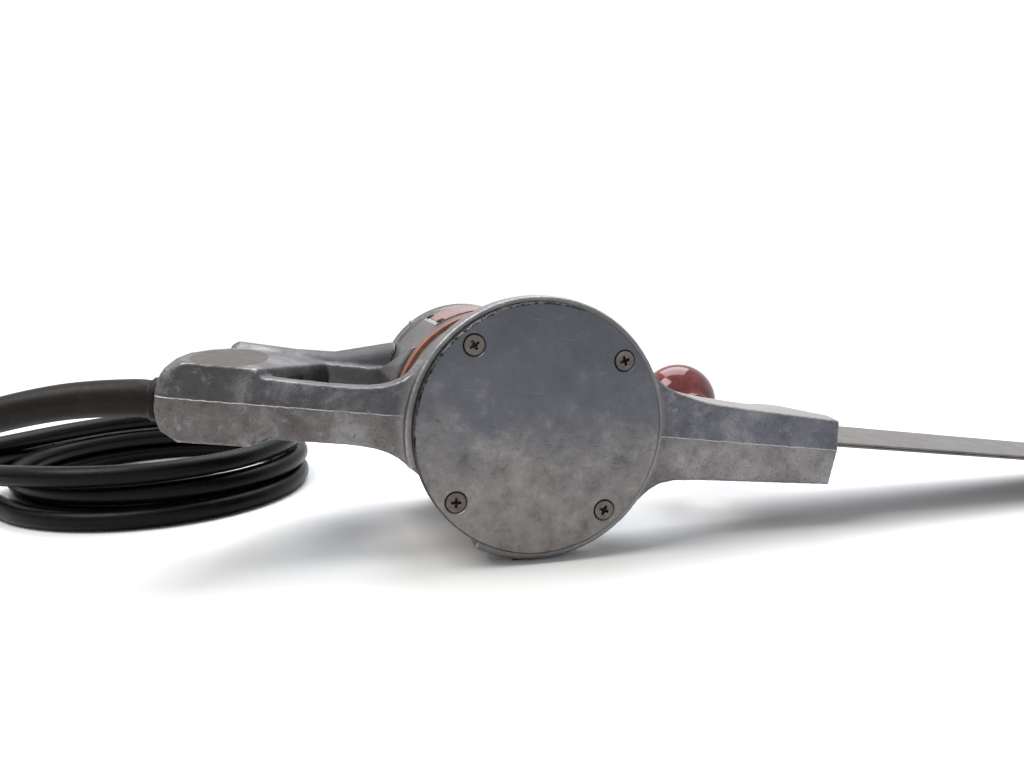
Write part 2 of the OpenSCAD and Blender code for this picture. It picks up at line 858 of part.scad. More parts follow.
module trigger_spring() {
    color("silver") posed() at_grip_edge() difference() {
        xcyl(3.4, switch_face, -14, (trigger_s0 + trigger_s1) / 2, 0);
        xcyl(2.7, switch_face - 1, -13, (trigger_s0 + trigger_s1) / 2, 0);
    }
}

module switch_body() {
    color("black") posed() at_grip_edge() block([-39, 14, -10], [switch_face, 35, 9]);
}

module cord_clamp() {
    color("gray") posed() difference() {
        block([-158.5, 19.6, -12], [-153, 34.4, 9]);
        xcyl(cord_r + 0.2, -165, -150, entry_y, entry_z);
    }
}

// ---- cord ------------------------------------------------------------------------------------

// A point on the coil after t turns; it winds clockwise seen from above, in and out again
function coil_radius(t) = coil_r - coil_pitch * min(t, coil_turns - t);
function coil_height(t) = layer_high + (layer_low - layer_high) * max(0, min(1, 2 * t - coil_turns + 0.5));
function coil_angle(t) = coil_start_angle - 360 * t;
function coil_point(t) = [
    coil_centre[0] + coil_radius(t) * cos(coil_angle(t)),
    coil_centre[1] + coil_radius(t) * sin(coil_angle(t)),
    coil_height(t)
];
function coil_heading(t) = [sin(coil_angle(t)), -cos(coil_angle(t)), 0];
coil_rings = ceil(coil_turns * 24);
coil_path = concat(
    [coil_point(0) - coil_heading(0) * cord_d],
    [for (i = [0:coil_rings]) coil_point(coil_turns * i / coil_rings)],
    [coil_point(coil_turns) + coil_heading(coil_turns) * cord_d]
);
coil_in = coil_path[0];
coil_out = coil_path[len(coil_path) - 1];

// Out of the grip, down in an arc beside the tool, and once round on top of the coil
sleeve_route = [
    to_rest([-handle_end - 0.02, entry_y, entry_z]), to_rest([-handle_end - 2.4, entry_y, entry_z]),
    to_rest([-handle_end - 3.4, entry_y, entry_z]), to_rest([-handle_end - 10, entry_y, entry_z]),
    [-200, 9, 86.9], [-214, 9.5, 86], [-228, 10.5, 83.8], [-242, 12, 80.6], [-256, 14.5, 76.4],
    [-270, 18.5, 71.2], [-283, 24, 65.7]
];
lead_route = [
    [-299, 31, 59.5], [-316, 42, 53.5], [-332, 57, 48.5], [-341, 76, 44], [-344, 100, 40], [-341, 126, 36.5],
    [-330, 153, 33.5], [-315, 179, 31.5], [-297, 207, 31], [-277, 232, 31], [-252, 254, 31], [-221, 265, 31],
    [-189, 264, 31], [-161, 250, 31], [-139, 229, 31], [-127, 201, 31], [-124, 171, 31], [-134, 142, 31],
    [-153, 116, 31], [-178, 100, 31], [-207, 92, 31], [-238, 94, 31], [-267, 105, 30.5], [-290, 122, 28.5],
    [-305, 146, 25], [-310, 171, 21]
];
lead_path = concat(
    [to_rest([-151, entry_y, entry_z]), to_rest([-165, entry_y, entry_z])],
    sleeve_route, lead_route,
    [coil_in - coil_heading(0) * cord_d, coil_in]
);
tail_route = [[-302, 149, 6.1], [-312, 161, 6.1], [-325, 171, 6.1], [-340, 177, 6.1]];
tail_path = concat([coil_out, coil_out + coil_heading(coil_turns) * cord_d], tail_route);

// Least distance between two parts of the coil, and from the lead to the coil and to itself
coil_gap = min([
    for (i = [0:2:coil_rings]) for (j = [i + 9:coil_rings])
        norm(coil_path[i + 1] - coil_path[j + 1]) - cord_d
]);
lead_gap = min([
    for (i = [8:len(lead_path) - 3]) for (j = [0:coil_rings])
        norm(lead_path[i] - coil_path[j + 1]) - cord_d
]);
self_gap = min([
    for (i = [8:len(lead_path) - 7]) for (j = [i + 6:len(lead_path) - 1])
        norm(lead_path[i] - lead_path[j]) - cord_d
]);
function path_length(p, i = 0) = i > len(p) - 2 ? 0 : norm(p[i + 1] - p[i]) + path_length(p, i + 1);
cord_length = path_length(lead_path) + path_length(coil_path) + path_length(tail_path);
echo(coil_gap = coil_gap, lead_gap = lead_gap, self_gap = self_gap, cord_length = cord_length);

// A closed tube swept along points, with a radius at each of them
function tangent(p, i) =
    i == 0 ? unit(p[1] - p[0]) :
    i == len(p) - 1 ? unit(p[i] - p[i - 1]) :
    unit(unit(p[i + 1] - p[i]) + unit(p[i] - p[i - 1]));
function side_of(t) = unit(cross([0, 0, 1], t));
function same(n, r) = [for (i = [1:n]) r];
module swept(p, radii, sides) {
    n = len(p);
    rings = [
        for (i = [0:n - 1])
            let (t = tangent(p, i), s = side_of(t), u = cross(t, s))
            for (k = [0:sides - 1])
                let (a = 360 * (k + 0.5) / sides) p[i] + radii[i] * (s * cos(a) + u * sin(a))
    ];
    walls = [
        for (i = [0:n - 2]) for (k = [0:sides - 1])
            let (a = i * sides + k, b = i * sides + (k + 1) % sides)
            each [[b, a, b + sides], [b + sides, a, a + sides]]
    ];
    last = (n - 1) * sides;
    front = [for (k = [1:sides - 2]) [0, k, k + 1]];
    back = [for (k = [1:sides - 2]) [last, last + k + 1, last + k]];
    polyhedron(points = rings, faces = concat(walls, front, back));
}

// Tapering rubber sleeve with a bead where it meets the grip
module cord_sleeve() {
    n = len(sleeve_route);
    plug_in = [for (d = [5, 0]) to_rest([-handle_end + d, entry_y, entry_z])];
    bead = [10.2, 10.2, 8.8];
    color("black") difference() {
        swept(
            concat(plug_in, sleeve_route),
            concat([7.9, 7.9], bead, [for (i = [3:n - 1]) 8.8 - 1.8 * (i - 3) / (n - 4)]), 12
        );
        swept(
            concat([to_rest([-handle_end + 8, entry_y, entry_z])], sleeve_route, [[-297, 32, 59.5]]),
            same(n + 2, cord_r + 0.15), tube_sides
        );
    }
}

module cord_lead() {
    color("black") swept(lead_path, same(len(lead_path), cord_r), tube_sides);
}

module cord_coil() {
    color("black") swept(coil_path, same(len(coil_path), cord_r), coil_sides);
}

module cord_tail() {
    color("black") swept(tail_path, same(len(tail_path), cord_r), tube_sides);
}

plug_start = tail_path[len(tail_path) - 1];
plug_heading = plug_start - tail_path[len(tail_path) - 2];
plug_turn = atan2(plug_heading[1], plug_heading[0]);

// Puts a shape drawn along x at the end of the tail
module at_plug() {
    translate(plug_start) rotate([0, 0, plug_turn]) children();
}

module plug_body() {
    color("black") at_plug() intersection() {
        union() {
            xcyl(8.2, 0, 14);
            translate([14, 0, 0]) rotate([0, 90, 0]) cylinder(r1 = 8.2, r2 = 14, h = 8);
            xcyl(14, 22, 38);
        }
        block([-10, -30, -plug_start[2]], [80, 30, 40]);
    }
}

module plug_pins() {
    color("silver") at_plug() {
        for (s = [-1, 1]) block([38, s * 6.35 - 0.75, -1.2], [55, s * 6.35 + 0.75, 5.2]);
        xcyl(2.4, 38, 58, 0, -3.5);
    }
}

gear_cover();
cover_screws();
cover_gasket();
gear_case();
case_ring();
bearing_plate();
motor_housing();
housing_screws();
end_cap();
end_cap_screws();
front_bearing();
rear_bearing();
armature_shaft();
armature_core();
armature_winding();
commutator();
cooling_fan();
motor_pinion();
field_core();
field_coils();
brush_holders();
carbon_brushes();
brush_springs();
brush_caps();
drive_gear();
gear_shaft();
gear_bush();
crank_pin();
drive_yoke();
yoke_guide();
moving_blade();
blade_rivets();
fixed_blade();
blade_screws();
knob();
knob_stud();
knob_nut();
handle_cover();
handle_screws();
nameplate();
nameplate_rivets();
trigger();
trigger_spring();
switch_body();
cord_clamp();
cord_sleeve();
front_foot();
rear_foot();
cord_lead();
cord_coil();
cord_tail();
plug_body();
plug_pins();
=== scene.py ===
"""Corded power cutter: cast D-handle body, round gear case, side knob, two flat blades and a coiled lead.

Lengths in the tables are millimetres, and become metres where a piece is made. Lengths inside a material's
tree are metres, as its coordinates are.
"""

import math

import bmesh
import bpy
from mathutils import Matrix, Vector


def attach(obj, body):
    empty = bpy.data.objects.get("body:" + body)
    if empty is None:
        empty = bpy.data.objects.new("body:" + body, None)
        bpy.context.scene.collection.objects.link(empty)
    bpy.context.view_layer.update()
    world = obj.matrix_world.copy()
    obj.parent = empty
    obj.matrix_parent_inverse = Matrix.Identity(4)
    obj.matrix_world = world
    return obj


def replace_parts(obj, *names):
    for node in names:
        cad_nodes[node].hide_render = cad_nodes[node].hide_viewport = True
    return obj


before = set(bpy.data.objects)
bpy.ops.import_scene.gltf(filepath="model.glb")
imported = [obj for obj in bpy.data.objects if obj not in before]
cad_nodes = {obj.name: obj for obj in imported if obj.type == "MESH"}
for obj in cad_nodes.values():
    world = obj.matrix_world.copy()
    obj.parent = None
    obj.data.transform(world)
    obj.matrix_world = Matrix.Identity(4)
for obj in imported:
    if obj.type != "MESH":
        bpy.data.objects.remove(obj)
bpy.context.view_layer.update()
scene = bpy.context.scene

MM = 0.001
TILT = math.radians(7.2)  # the tool rests on its front foot, nose down
FOOT_Y = 18  # the y of the tool that comes to 0 at rest
AXIS_H = 67.5  # height of the gear case's axis at rest
MOTOR = (-17.7, 4)  # the motor's axis, on x and z of the tool


def at_rest(x, y, z):
    """A point of the square-drawn tool, in mm, in the resting pose in metres."""
    return Vector((
        x * math.cos(TILT) + z * math.sin(TILT),
        y - FOOT_Y,
        AXIS_H - x * math.sin(TILT) + z * math.cos(TILT),
    )) * MM


# ---- camera ----------------------------------------------------------------------------------

camera = bpy.data.objects.new("camera", bpy.data.cameras.new("camera"))
scene.collection.objects.link(camera)
camera.location = (-0.1035, -0.3678, 0.1433)
camera.rotation_euler = (math.radians(81.74), 0, math.radians(-14.21))
camera.data.sensor_width = 36
camera.data.lens = 27.07
camera.data.clip_start = 0.01
scene.camera = camera


# ---- materials: helpers ----------------------------------------------------------------------

def colour(hex_code):
    """An sRGB hex colour as linear RGBA."""
    def linear(value):
        return value / 12.92 if value <= 0.04045 else ((value + 0.055) / 1.055) ** 2.4
    parts = [int(hex_code[i:i + 2], 16) / 255 for i in (1, 3, 5)]
    return tuple(linear(part) for part in parts) + (1,)


def grain(size_mm):
    """The scale of a pattern whose blotches are about size_mm across."""
    return 1 / (size_mm * MM)


def add(tree, kind, *inputs, at=None, out=0, stops=(), **named):
    """Adds a shader node with its settings, values and links, and gives one of its output sockets.

    inputs go to the first sockets in order, at goes to sockets by number, and a name with a capital letter
    is a socket's. Any other name is one of the node's settings, and stops are a colour ramp's. A socket is
    linked, a hex colour is turned to linear, and any other value is set.
    """
    made = tree.nodes.new("ShaderNode" + kind)
    fed = dict(enumerate(inputs)) | (at or {})
    for name, value in named.items():
        if name[0].isupper():
            fed[name.replace("_", " ")] = value
        else:
            setattr(made, name, value)
    for socket, value in fed.items():
        if isinstance(value, bpy.types.NodeSocket):
            tree.links.new(value, made.inputs[socket])
        else:
            made.inputs[socket].default_value = colour(value) if isinstance(value, str) else value
    if stops:
        elements = made.color_ramp.elements
        while len(elements) < len(stops):
            elements.new(0.5)
        for element, (position, hex_code) in zip(elements, stops):
            element.position = position
            element.color = colour(hex_code)
    return made.outputs[out]


def stained(tree, base, tint, pattern, low, high, at_low, at_high, within=None):
    """Base with tint laid over it, by the share at_low where pattern is low and at_high where it is high."""
    share = add(tree, "MapRange", pattern, low, high, at_low, at_high)
    if within is not None:
        share = add(tree, "Math", share, within, operation="MULTIPLY")
    return add(tree, "Mix", at={0: share, 6: base, 7: tint}, out=2, data_type="RGBA")


def band(tree, pattern, middle, inner, outer, beyond=0):
    """1 where pattern is within inner of middle, and beyond where it is outer or more from it."""
    off = add(tree, "Math", add(tree, "Math", pattern, middle, operation="SUBTRACT"), operation="ABSOLUTE")
    return add(tree, "MapRange", off, inner, outer, 1, beyond)


def from_axis(tree, x, z):
    """The distance from the gear case's axis."""
    return add(tree, "VectorMath", add(tree, "CombineXYZ", X=x, Z=z), operation="LENGTH", out="Value")


def new_material(name, **constants):
    """A material's tree and its Principled shader, with constants on the shader's own sockets."""
    made = bpy.data.materials.new(name)
    made.use_nodes = True
    shader = made.node_tree.nodes["Principled BSDF"]
    for socket, value in constants.items():
        shader.inputs[socket.replace("_", " ")].default_value = value
    return made, made.node_tree, shader


def finish_with(tree, shader, base, rough, height=None, depth_mm=0.1, edge_mm=None):
    """Links a material's patterns to its shader: height is bump of depth_mm, and edge_mm rounds sharp edges."""
    tree.links.new(base, shader.inputs["Base Color"])
    tree.links.new(rough, shader.inputs["Roughness"])
    if height is None:
        return
    skin = {"Height": height, "Distance": depth_mm * MM, "Strength": 1.0}
    if edge_mm is not None:
        skin["Normal"] = add(tree, "Bevel", samples=4, Radius=edge_mm * MM)
    tree.links.new(add(tree, "Bump", **skin), shader.inputs["Normal"])


def places(tree):
    """The object's own coordinates in metres, and the same turned square to the tool."""
    here = add(tree, "TexCoord", out="Object")
    square = add(tree, "Mapping", vector_type="TEXTURE", Vector=here,
                 Location=(0, -FOOT_Y * MM, AXIS_H * MM), Rotation=(0, TILT, 0))
    return here, square


def streaked(tree, where, along_mm, across_mm, turn=(0, 0, 0)):
    """Fine streaks, along_mm long on x and across_mm wide."""
    long = add(tree, "Mapping", Vector=where, Rotation=turn, Scale=(across_mm / along_mm, 1, 1))
    return add(tree, "TexNoise", Vector=long, Scale=grain(across_mm), Detail=2, Roughness=0.55)


def with_painted_hollow_shade(tree, base, reach_mm, strength, only_local=False):
    """Painted shade: darkens corners and slots narrower than about reach_mm, where little of the room's light
    reaches.
    """
    open_sky = add(tree, "AmbientOcclusion", samples=6, only_local=only_local, Distance=reach_mm * MM, out="AO")
    return stained(tree, base, "#1B1816", open_sky, 0.25, 0.85, strength, 0)


# ---- materials: metals -----------------------------------------------------------------------

NECK_START = 0.066  # x where the neck and the arms leave the round case
BAR_FRONT = 0.0925  # y where the rear bar begins
LAND_MIDDLE = (-0.1478, 0.047)  # the palm's land on the grip, on x and y
LAND_REACH = (0.0165, 0.043)
LAND_LEAN = 0.1  # how far the land leans back for each step along y
LAND_HEIGHT = 0.0155
COVER_EDGE = 0.0610  # radius where the cover's darkened edge begins


def cast_aluminium_aged():
    """Aluminium, sand cast and hand ground: cloudy oxide, rubbed bright edges, dirt in the pores.

    Above the parting line the skin is painted darker and cooler than below it as a painted reflection, faces
    that look up are painted paler as lit from above, and hollows carry painted shade; the ground-off flash
    shines.
    """
    made, tree, shader = new_material("cast_aluminium_aged", Metallic=0.82)
    here, square = places(tree)
    x, y, z = add(tree, "SeparateXYZ", square).node.outputs
    _, facing_y, facing_z = add(tree, "SeparateXYZ", add(tree, "NewGeometry", out="Normal")).node.outputs
    clouds = add(tree, "TexNoise", Vector=here, Scale=grain(26), Detail=6, Roughness=0.66, Distortion=0.4)
    blotches = add(tree, "TexNoise", Vector=here, Scale=grain(6), Detail=7, Roughness=0.74, Distortion=0.25)
    pores = add(tree, "TexNoise", Vector=here, Scale=grain(1.1), Detail=4, Roughness=0.65)
    scuffs = add(tree, "TexNoise", Vector=here, Scale=grain(3), Detail=7, Roughness=0.8, Distortion=0.6)

    # painted reflection: above the parting line the skin is drawn darker and cooler than below it, standing in
    # for the dim room above and the pale floor below; it is also drawn paler and bluer towards the neck, whose
    # mottling is calmer
    along = add(tree, "MapRange", x, -0.15, 0.15, 0, 1)
    upper = add(tree, "Mix", at={0: along, 6: "#484749", 7: "#64656D"}, out=2, data_type="RGBA")
    lower = add(tree, "Mix", at={0: along, 6: "#605C5B", 7: "#7A7778"}, out=2, data_type="RGBA")
    calm = add(tree, "MapRange", x, 0.05, 0.1, 1, 0.65)
    wander = add(tree, "MapRange", blotches, 0.2, 0.8, -0.0005, 0.0005)
    over_line = add(tree, "Math", z, wander, operation="ADD")
    base = stained(tree, lower, upper, over_line, -0.0010, 0.0006, 0, 1)
    base = stained(tree, base, "#383534", clouds, 0.34, 0.50, 0.5, 0, within=calm)
    base = stained(tree, base, "#9C9A9A", clouds, 0.50, 0.68, 0, 0.45)
    base = stained(tree, base, "#3A3634", blotches, 0.54, 0.70, 0, 0.55, within=calm)
    base = stained(tree, base, "#939197", blotches, 0.30, 0.44, 0.36, 0)
    base = stained(tree, base, "#37322F", pores, 0.56, 0.67, 0, 0.6)
    base = stained(tree, base, "#A9A8A9", scuffs, 0.64, 0.74, 0, 0.45)

    # painted light: the round case's rim is drawn paler than the rest, lifting the shade that the cover's edge
    # throws on it
    base = stained(tree, base, "#8A8887", from_axis(tree, x, z), 0.0665, 0.070, 0.4, 0)

    # painted dark reflection: the rear bar is drawn darker than the rest of the handle
    bar_side = add(tree, "MapRange", x, -0.14, -0.11, 0, 1)
    base = stained(tree, base, "#323134", y, BAR_FRONT, BAR_FRONT + 0.004, 0, 0.85, within=bar_side)

    # flat land on the grip, rubbed brown by the palm: an ellipse on the top face
    back = add(tree, "Math", y, LAND_MIDDLE[1], operation="SUBTRACT")
    lean = add(tree, "Math", back, LAND_LEAN, operation="MULTIPLY")
    across = add(tree, "Math", x, LAND_MIDDLE[0], operation="SUBTRACT")
    across = add(tree, "Math", across, lean, operation="SUBTRACT")
    oval = add(tree, "CombineXYZ", add(tree, "Math", across, LAND_REACH[0], operation="DIVIDE"),
               add(tree, "Math", back, LAND_REACH[1], operation="DIVIDE"))
    oval = add(tree, "VectorMath", oval, operation="LENGTH", out="Value")
    on_top = add(tree, "MapRange", z, LAND_HEIGHT - 0.0003, LAND_HEIGHT + 0.0003, 0, 1)
    land = add(tree, "Math", add(tree, "MapRange", oval, 0.97, 1, 1, 0), on_top, operation="MULTIPLY")
    base = stained(tree, base, "#4A4541", land, 0, 1, 0, 0.88)

    # ground-off flash of the mould's parting line, along the handle and the neck
    line = band(tree, over_line, 0, 0.0001, 0.00035)
    off_case = add(tree, "MapRange", add(tree, "Math", x, operation="ABSOLUTE"),
                   NECK_START - 0.0005, NECK_START + 0.0005, 0, 1)
    left_on = add(tree, "MapRange", blotches, 0.36, 0.5, 0.15, 1)
    line = add(tree, "Math", line, off_case, operation="MULTIPLY")
    line = add(tree, "Math", line, left_on, operation="MULTIPLY")
    base = stained(tree, base, "#C6C3C2", line, 0, 1, 0, 0.8)

    # painted light: faces that look up are drawn paler, as lit from above, most of all on the neck
    neck = add(tree, "MapRange", x, NECK_START, NECK_START + 0.012, 0.1, 1)
    base = stained(tree, base, "#B4ADAA", facing_z, 0.35, 0.9, 0, 0.6, within=neck)

    # painted light: the rear bar's inner wall, where it faces the front, is drawn a little paler, lifting the
    # shade it stands in
    on_bar = add(tree, "MapRange", y, 0.086, 0.088, 0, 1)
    base = stained(tree, base, "#ACAAAB", facing_y, -0.99, -0.93, 0.12, 0, within=on_bar)

    # edges rubbed bright by hands and the bench; creases and hollows darkened as painted shade
    edges = add(tree, "NewGeometry", out="Pointiness")
    ragged = add(tree, "Math", edges, add(tree, "MapRange", blotches, 0.2, 0.8, -0.03, 0.03), operation="ADD")
    base = stained(tree, base, "#BDBCBE", ragged, 0.53, 0.585, 0, 0.9)
    base = stained(tree, base, "#2A2725", edges, 0.40, 0.475, 0.5, 0)
    base = with_painted_hollow_shade(tree, base, 2.5, 0.6, only_local=True)

    rough = add(tree, "MapRange", blotches, 0.3, 0.75, 0.38, 0.58)
    rough = add(tree, "Math", rough, add(tree, "Math", land, 0.2, operation="MULTIPLY"), operation="ADD")
    rough = add(tree, "Math", rough, add(tree, "MapRange", ragged, 0.53, 0.585, 0, 0.144), operation="SUBTRACT")
    height = add(tree, "Math", add(tree, "Math", pores, 0.4, operation="MULTIPLY"), blotches, operation="ADD")
    height = add(tree, "Math", height, add(tree, "Math", line, 0.8, operation="MULTIPLY"), operation="ADD")
    finish_with(tree, shader, base, rough, height, 0.25)
    return made


def cast_aluminium_turned():
    """Cast aluminium turned on the outside: even grey with fine rings, dirt and a few scuffs, and painted shade
    in its hollows.
    """
    made, tree, shader = new_material("cast_aluminium_turned", Metallic=0.85)
    here, square = places(tree)
    clouds = add(tree, "TexNoise", Vector=here, Scale=grain(16), Detail=4, Roughness=0.55)
    specks = add(tree, "TexNoise", Vector=here, Scale=grain(1.4), Detail=4, Roughness=0.65)
    rings = streaked(tree, square, 30, 0.4)
    edges = add(tree, "NewGeometry", out="Pointiness")
    base = add(tree, "ValToRGB", clouds, stops=((0.3, "#464445"), (0.5, "#585555"), (0.72, "#696665")))
    base = stained(tree, base, "#4C4746", specks, 0.58, 0.74, 0, 0.45)
    base = stained(tree, base, "#838282", rings, 0.62, 0.72, 0, 0.3)
    base = stained(tree, base, "#8A8989", edges, 0.535, 0.60, 0, 0.7)
    base = with_painted_hollow_shade(tree, base, 2.5, 0.7)
    rough = add(tree, "MapRange", specks, 0.3, 0.7, 0.34, 0.5)
    finish_with(tree, shader, base, rough, specks, 0.12, edge_mm=0.5)
    return made


def cover_aluminium_lapped():
    """Aluminium plate faced and lapped, long in use: painted reflection makes it darker blue-grey above and
    warm and paler below, with more handling stains below, scratched.
    """
    made, tree, shader = new_material("cover_aluminium_lapped", Metallic=0.86)
    here, square = places(tree)
    x, _, z = add(tree, "SeparateXYZ", square).node.outputs
    clouds = add(tree, "TexNoise", Vector=here, Scale=grain(38), Detail=6, Roughness=0.62, Distortion=0.5)
    stains = add(tree, "TexNoise", Vector=here, Scale=grain(13), Detail=8, Roughness=0.76, Distortion=0.15)
    spots = add(tree, "TexNoise", Vector=here, Scale=grain(2.6), Detail=6, Roughness=0.74)
    fine = add(tree, "TexNoise", Vector=here, Scale=grain(0.8), Detail=4, Roughness=0.7)
    # painted reflection: the face is drawn warm and paler towards the bottom and cool blue-grey and darker
    # towards the top
    wander = add(tree, "MapRange", clouds, 0.2, 0.8, -0.04, 0.04)
    tone = add(tree, "MapRange", add(tree, "Math", z, wander, operation="ADD"), -0.045, 0.045, 0, 1)
    base = add(tree, "ValToRGB", tone, stops=(
        (0.0, "#75716F"), (0.36, "#6A6869"), (0.60, "#5B5C62"), (1.0, "#53555C"),
    ))

    # the stained lower half is the more mottled one
    handled = add(tree, "MapRange", tone, 0.35, 0.75, 1, 0.3)
    base = stained(tree, base, "#3F3B39", stains, 0.51, 0.66, 0, 0.5, within=handled)
    base = stained(tree, base, "#98928E", stains, 0.33, 0.47, 0.42, 0, within=handled)
    base = stained(tree, base, "#3D3836", spots, 0.58, 0.70, 0, 0.55, within=handled)
    base = stained(tree, base, "#9C9A9C", spots, 0.24, 0.34, 0.35, 0)

    # scratches from the bench and from other tools, drawn wider than real ones so that they show
    long_marks = add(tree, "MapRange", streaked(tree, square, 26, 0.3, (0, 0.85, 0)), 0.71, 0.75, 0, 1)
    cross_marks = add(tree, "MapRange", streaked(tree, square, 12, 0.26, (0, -0.6, 0)), 0.72, 0.76, 0, 1)
    marks = add(tree, "Math", long_marks, cross_marks, operation="MAXIMUM")
    base = stained(tree, base, "#AEADB1", marks, 0, 1, 0, 0.5)

    # dark rubs in a band a little below the middle
    rubs = streaked(tree, square, 9, 0.8, (0, 0.12, 0))
    low_band = band(tree, z, -0.008, 0.004, 0.02, beyond=0.25)
    base = stained(tree, base, "#353130", rubs, 0.64, 0.72, 0, 0.7, within=low_band)
    base = stained(tree, base, "#3F3B3A", fine, 0.63, 0.72, 0, 0.45)

    # the chamfer is drawn dark all round, and the chipped gasket shows black along it on the handle's side
    radius = from_axis(tree, x, z)
    base = stained(tree, base, "#353231", radius, COVER_EDGE, COVER_EDGE + 0.0004, 0, 0.7)
    on_edge = add(tree, "MapRange", radius, COVER_EDGE - 0.0003, COVER_EDGE + 0.0001, 0, 1)
    chips = add(tree, "Math", on_edge, add(tree, "MapRange", spots, 0.48, 0.53, 0, 1), operation="MULTIPLY")
    leftward = add(tree, "Math", x, z, operation="SUBTRACT")
    base = stained(tree, base, "#100D0C", leftward, -0.05, -0.04, 1, 0, within=chips)
    # painted shade in the cover's hollows
    base = with_painted_hollow_shade(tree, base, 2.0, 0.85)

    rough = add(tree, "MapRange", stains, 0.25, 0.75, 0.30, 0.52)
    rough = add(tree, "Math", rough, add(tree, "Math", marks, 0.1, operation="MULTIPLY"), operation="ADD")
    bumps = add(tree, "Math", fine, add(tree, "Math", marks, 0.5, operation="MULTIPLY"), operation="SUBTRACT")
    finish_with(tree, shader, base, rough, bumps, 0.06, edge_mm=0.4)
    return made


def steel(name, shades, rough, streak_mm=(40, 0.25), metallic=0.95, edge_mm=0.2, hollow_shade=0.6, reach_mm=1.6):
    """Steel with its streaks of grinding or drawing, darker spots where it has tarnished, and painted shade in
    its hollows.

    shades are pale, middle and dark; rough is the least and the most.
    """
    pale, middle, dark = shades
    made, tree, shader = new_material(name, Metallic=metallic)
    here, square = places(tree)
    clouds = add(tree, "TexNoise", Vector=here, Scale=grain(14), Detail=4, Roughness=0.55)
    spots = add(tree, "TexNoise", Vector=here, Scale=grain(1.6), Detail=5, Roughness=0.7)
    streaks = streaked(tree, square, *streak_mm)
    base = add(tree, "ValToRGB", clouds, stops=((0.3, dark), (0.5, middle), (0.72, pale)))
    base = stained(tree, base, pale, streaks, 0.35, 0.65, 0, 0.35)
    base = stained(tree, base, dark, spots, 0.62, 0.78, 0, 0.55)
    base = with_painted_hollow_shade(tree, base, reach_mm, hollow_shade)
    roughness = add(tree, "Math", add(tree, "MapRange", spots, 0.3, 0.7, *rough),
                    add(tree, "MapRange", streaks, 0.3, 0.7, -0.04, 0.04), operation="ADD")
    finish_with(tree, shader, base, roughness, streaks, 0.02, edge_mm=edge_mm)
    return made


def bronze_sintered():
    """Bronze pressed from powder and soaked with oil: brown-gold, dull, with fine pores."""
    made, tree, shader = new_material("bronze_sintered", Metallic=0.9)
    here, _ = places(tree)
    clouds = add(tree, "TexNoise", Vector=here, Scale=grain(5), Detail=3, Roughness=0.55)
    pores = add(tree, "TexNoise", Vector=here, Scale=grain(0.5), Detail=3, Roughness=0.55)
    base = add(tree, "ValToRGB", clouds, stops=((0.3, "#7A5A2E"), (0.6, "#9A7840"), (0.8, "#A98A55")))
    base = stained(tree, base, "#3C2C1A", pores, 0.6, 0.7, 0, 0.6)
    rough = add(tree, "MapRange", pores, 0.3, 0.7, 0.4, 0.6)
    finish_with(tree, shader, base, rough, pores, 0.05, edge_mm=0.2)
    return made


WIRE_MM = 0.8  # the coils' wire with its varnish


def copper_enamelled():
    """Copper wire wound in layers and varnished: red-brown, with the wires' ridges a wire's width apart, each
    drawn bright on its crest and dark in the groove beside it as painted light and shade.
    """
    made, tree, shader = new_material("copper_enamelled", Metallic=0.75)
    here, square = places(tree)
    turns = add(tree, "TexWave", wave_type="RINGS", rings_direction="Y", out="Fac", Vector=square,
                Scale=grain(WIRE_MM) / 2, Distortion=1.2, Detail=2)
    clouds = add(tree, "TexNoise", Vector=here, Scale=grain(3), Detail=3, Roughness=0.55)
    # painted light and shade: each wire is drawn bright on its crest and dark between wires
    base = add(tree, "ValToRGB", turns, stops=((0.1, "#3E2013"), (0.6, "#8C4A26"), (0.95, "#B56C3A")))
    base = stained(tree, base, "#4A2A18", clouds, 0.5, 0.75, 0, 0.4)
    finish_with(tree, shader, base, add(tree, "MapRange", clouds, 0.3, 0.7, 0.3, 0.45), turns, 0.15)
    return made


# ---- materials: rubber, plastics and paint ---------------------------------------------------

def rubber(name, shades, rough, shine, cloud_mm=9):
    """Cured rubber: near black, greyed where it rubs, with a bloom of dust and a skin of tiny pits.

    shades are deep, worn and dust; rough is the least and the most.
    """
    deep, worn, dust = shades
    made, tree, shader = new_material(name, IOR=1.52, Specular_IOR_Level=shine)
    here, _ = places(tree)
    clouds = add(tree, "TexNoise", Vector=here, Scale=grain(cloud_mm), Detail=5, Roughness=0.65)
    specks = add(tree, "TexNoise", Vector=here, Scale=grain(1.1), Detail=4, Roughness=0.7)
    scuffs = add(tree, "TexNoise", Vector=here, Scale=grain(3.2), Detail=5, Roughness=0.75, Distortion=0.8)
    base = add(tree, "ValToRGB", clouds, stops=((0.3, deep), (0.72, worn)))
    base = stained(tree, base, dust, scuffs, 0.60, 0.74, 0, 0.6)
    base = stained(tree, base, dust, specks, 0.66, 0.76, 0, 0.45)
    roughness = add(tree, "MapRange", scuffs, 0.3, 0.7, *rough)
    height = add(tree, "Math", add(tree, "Math", specks, 0.5, operation="MULTIPLY"), clouds, operation="ADD")
    finish_with(tree, shader, base, roughness, height, 0.12)
    return made


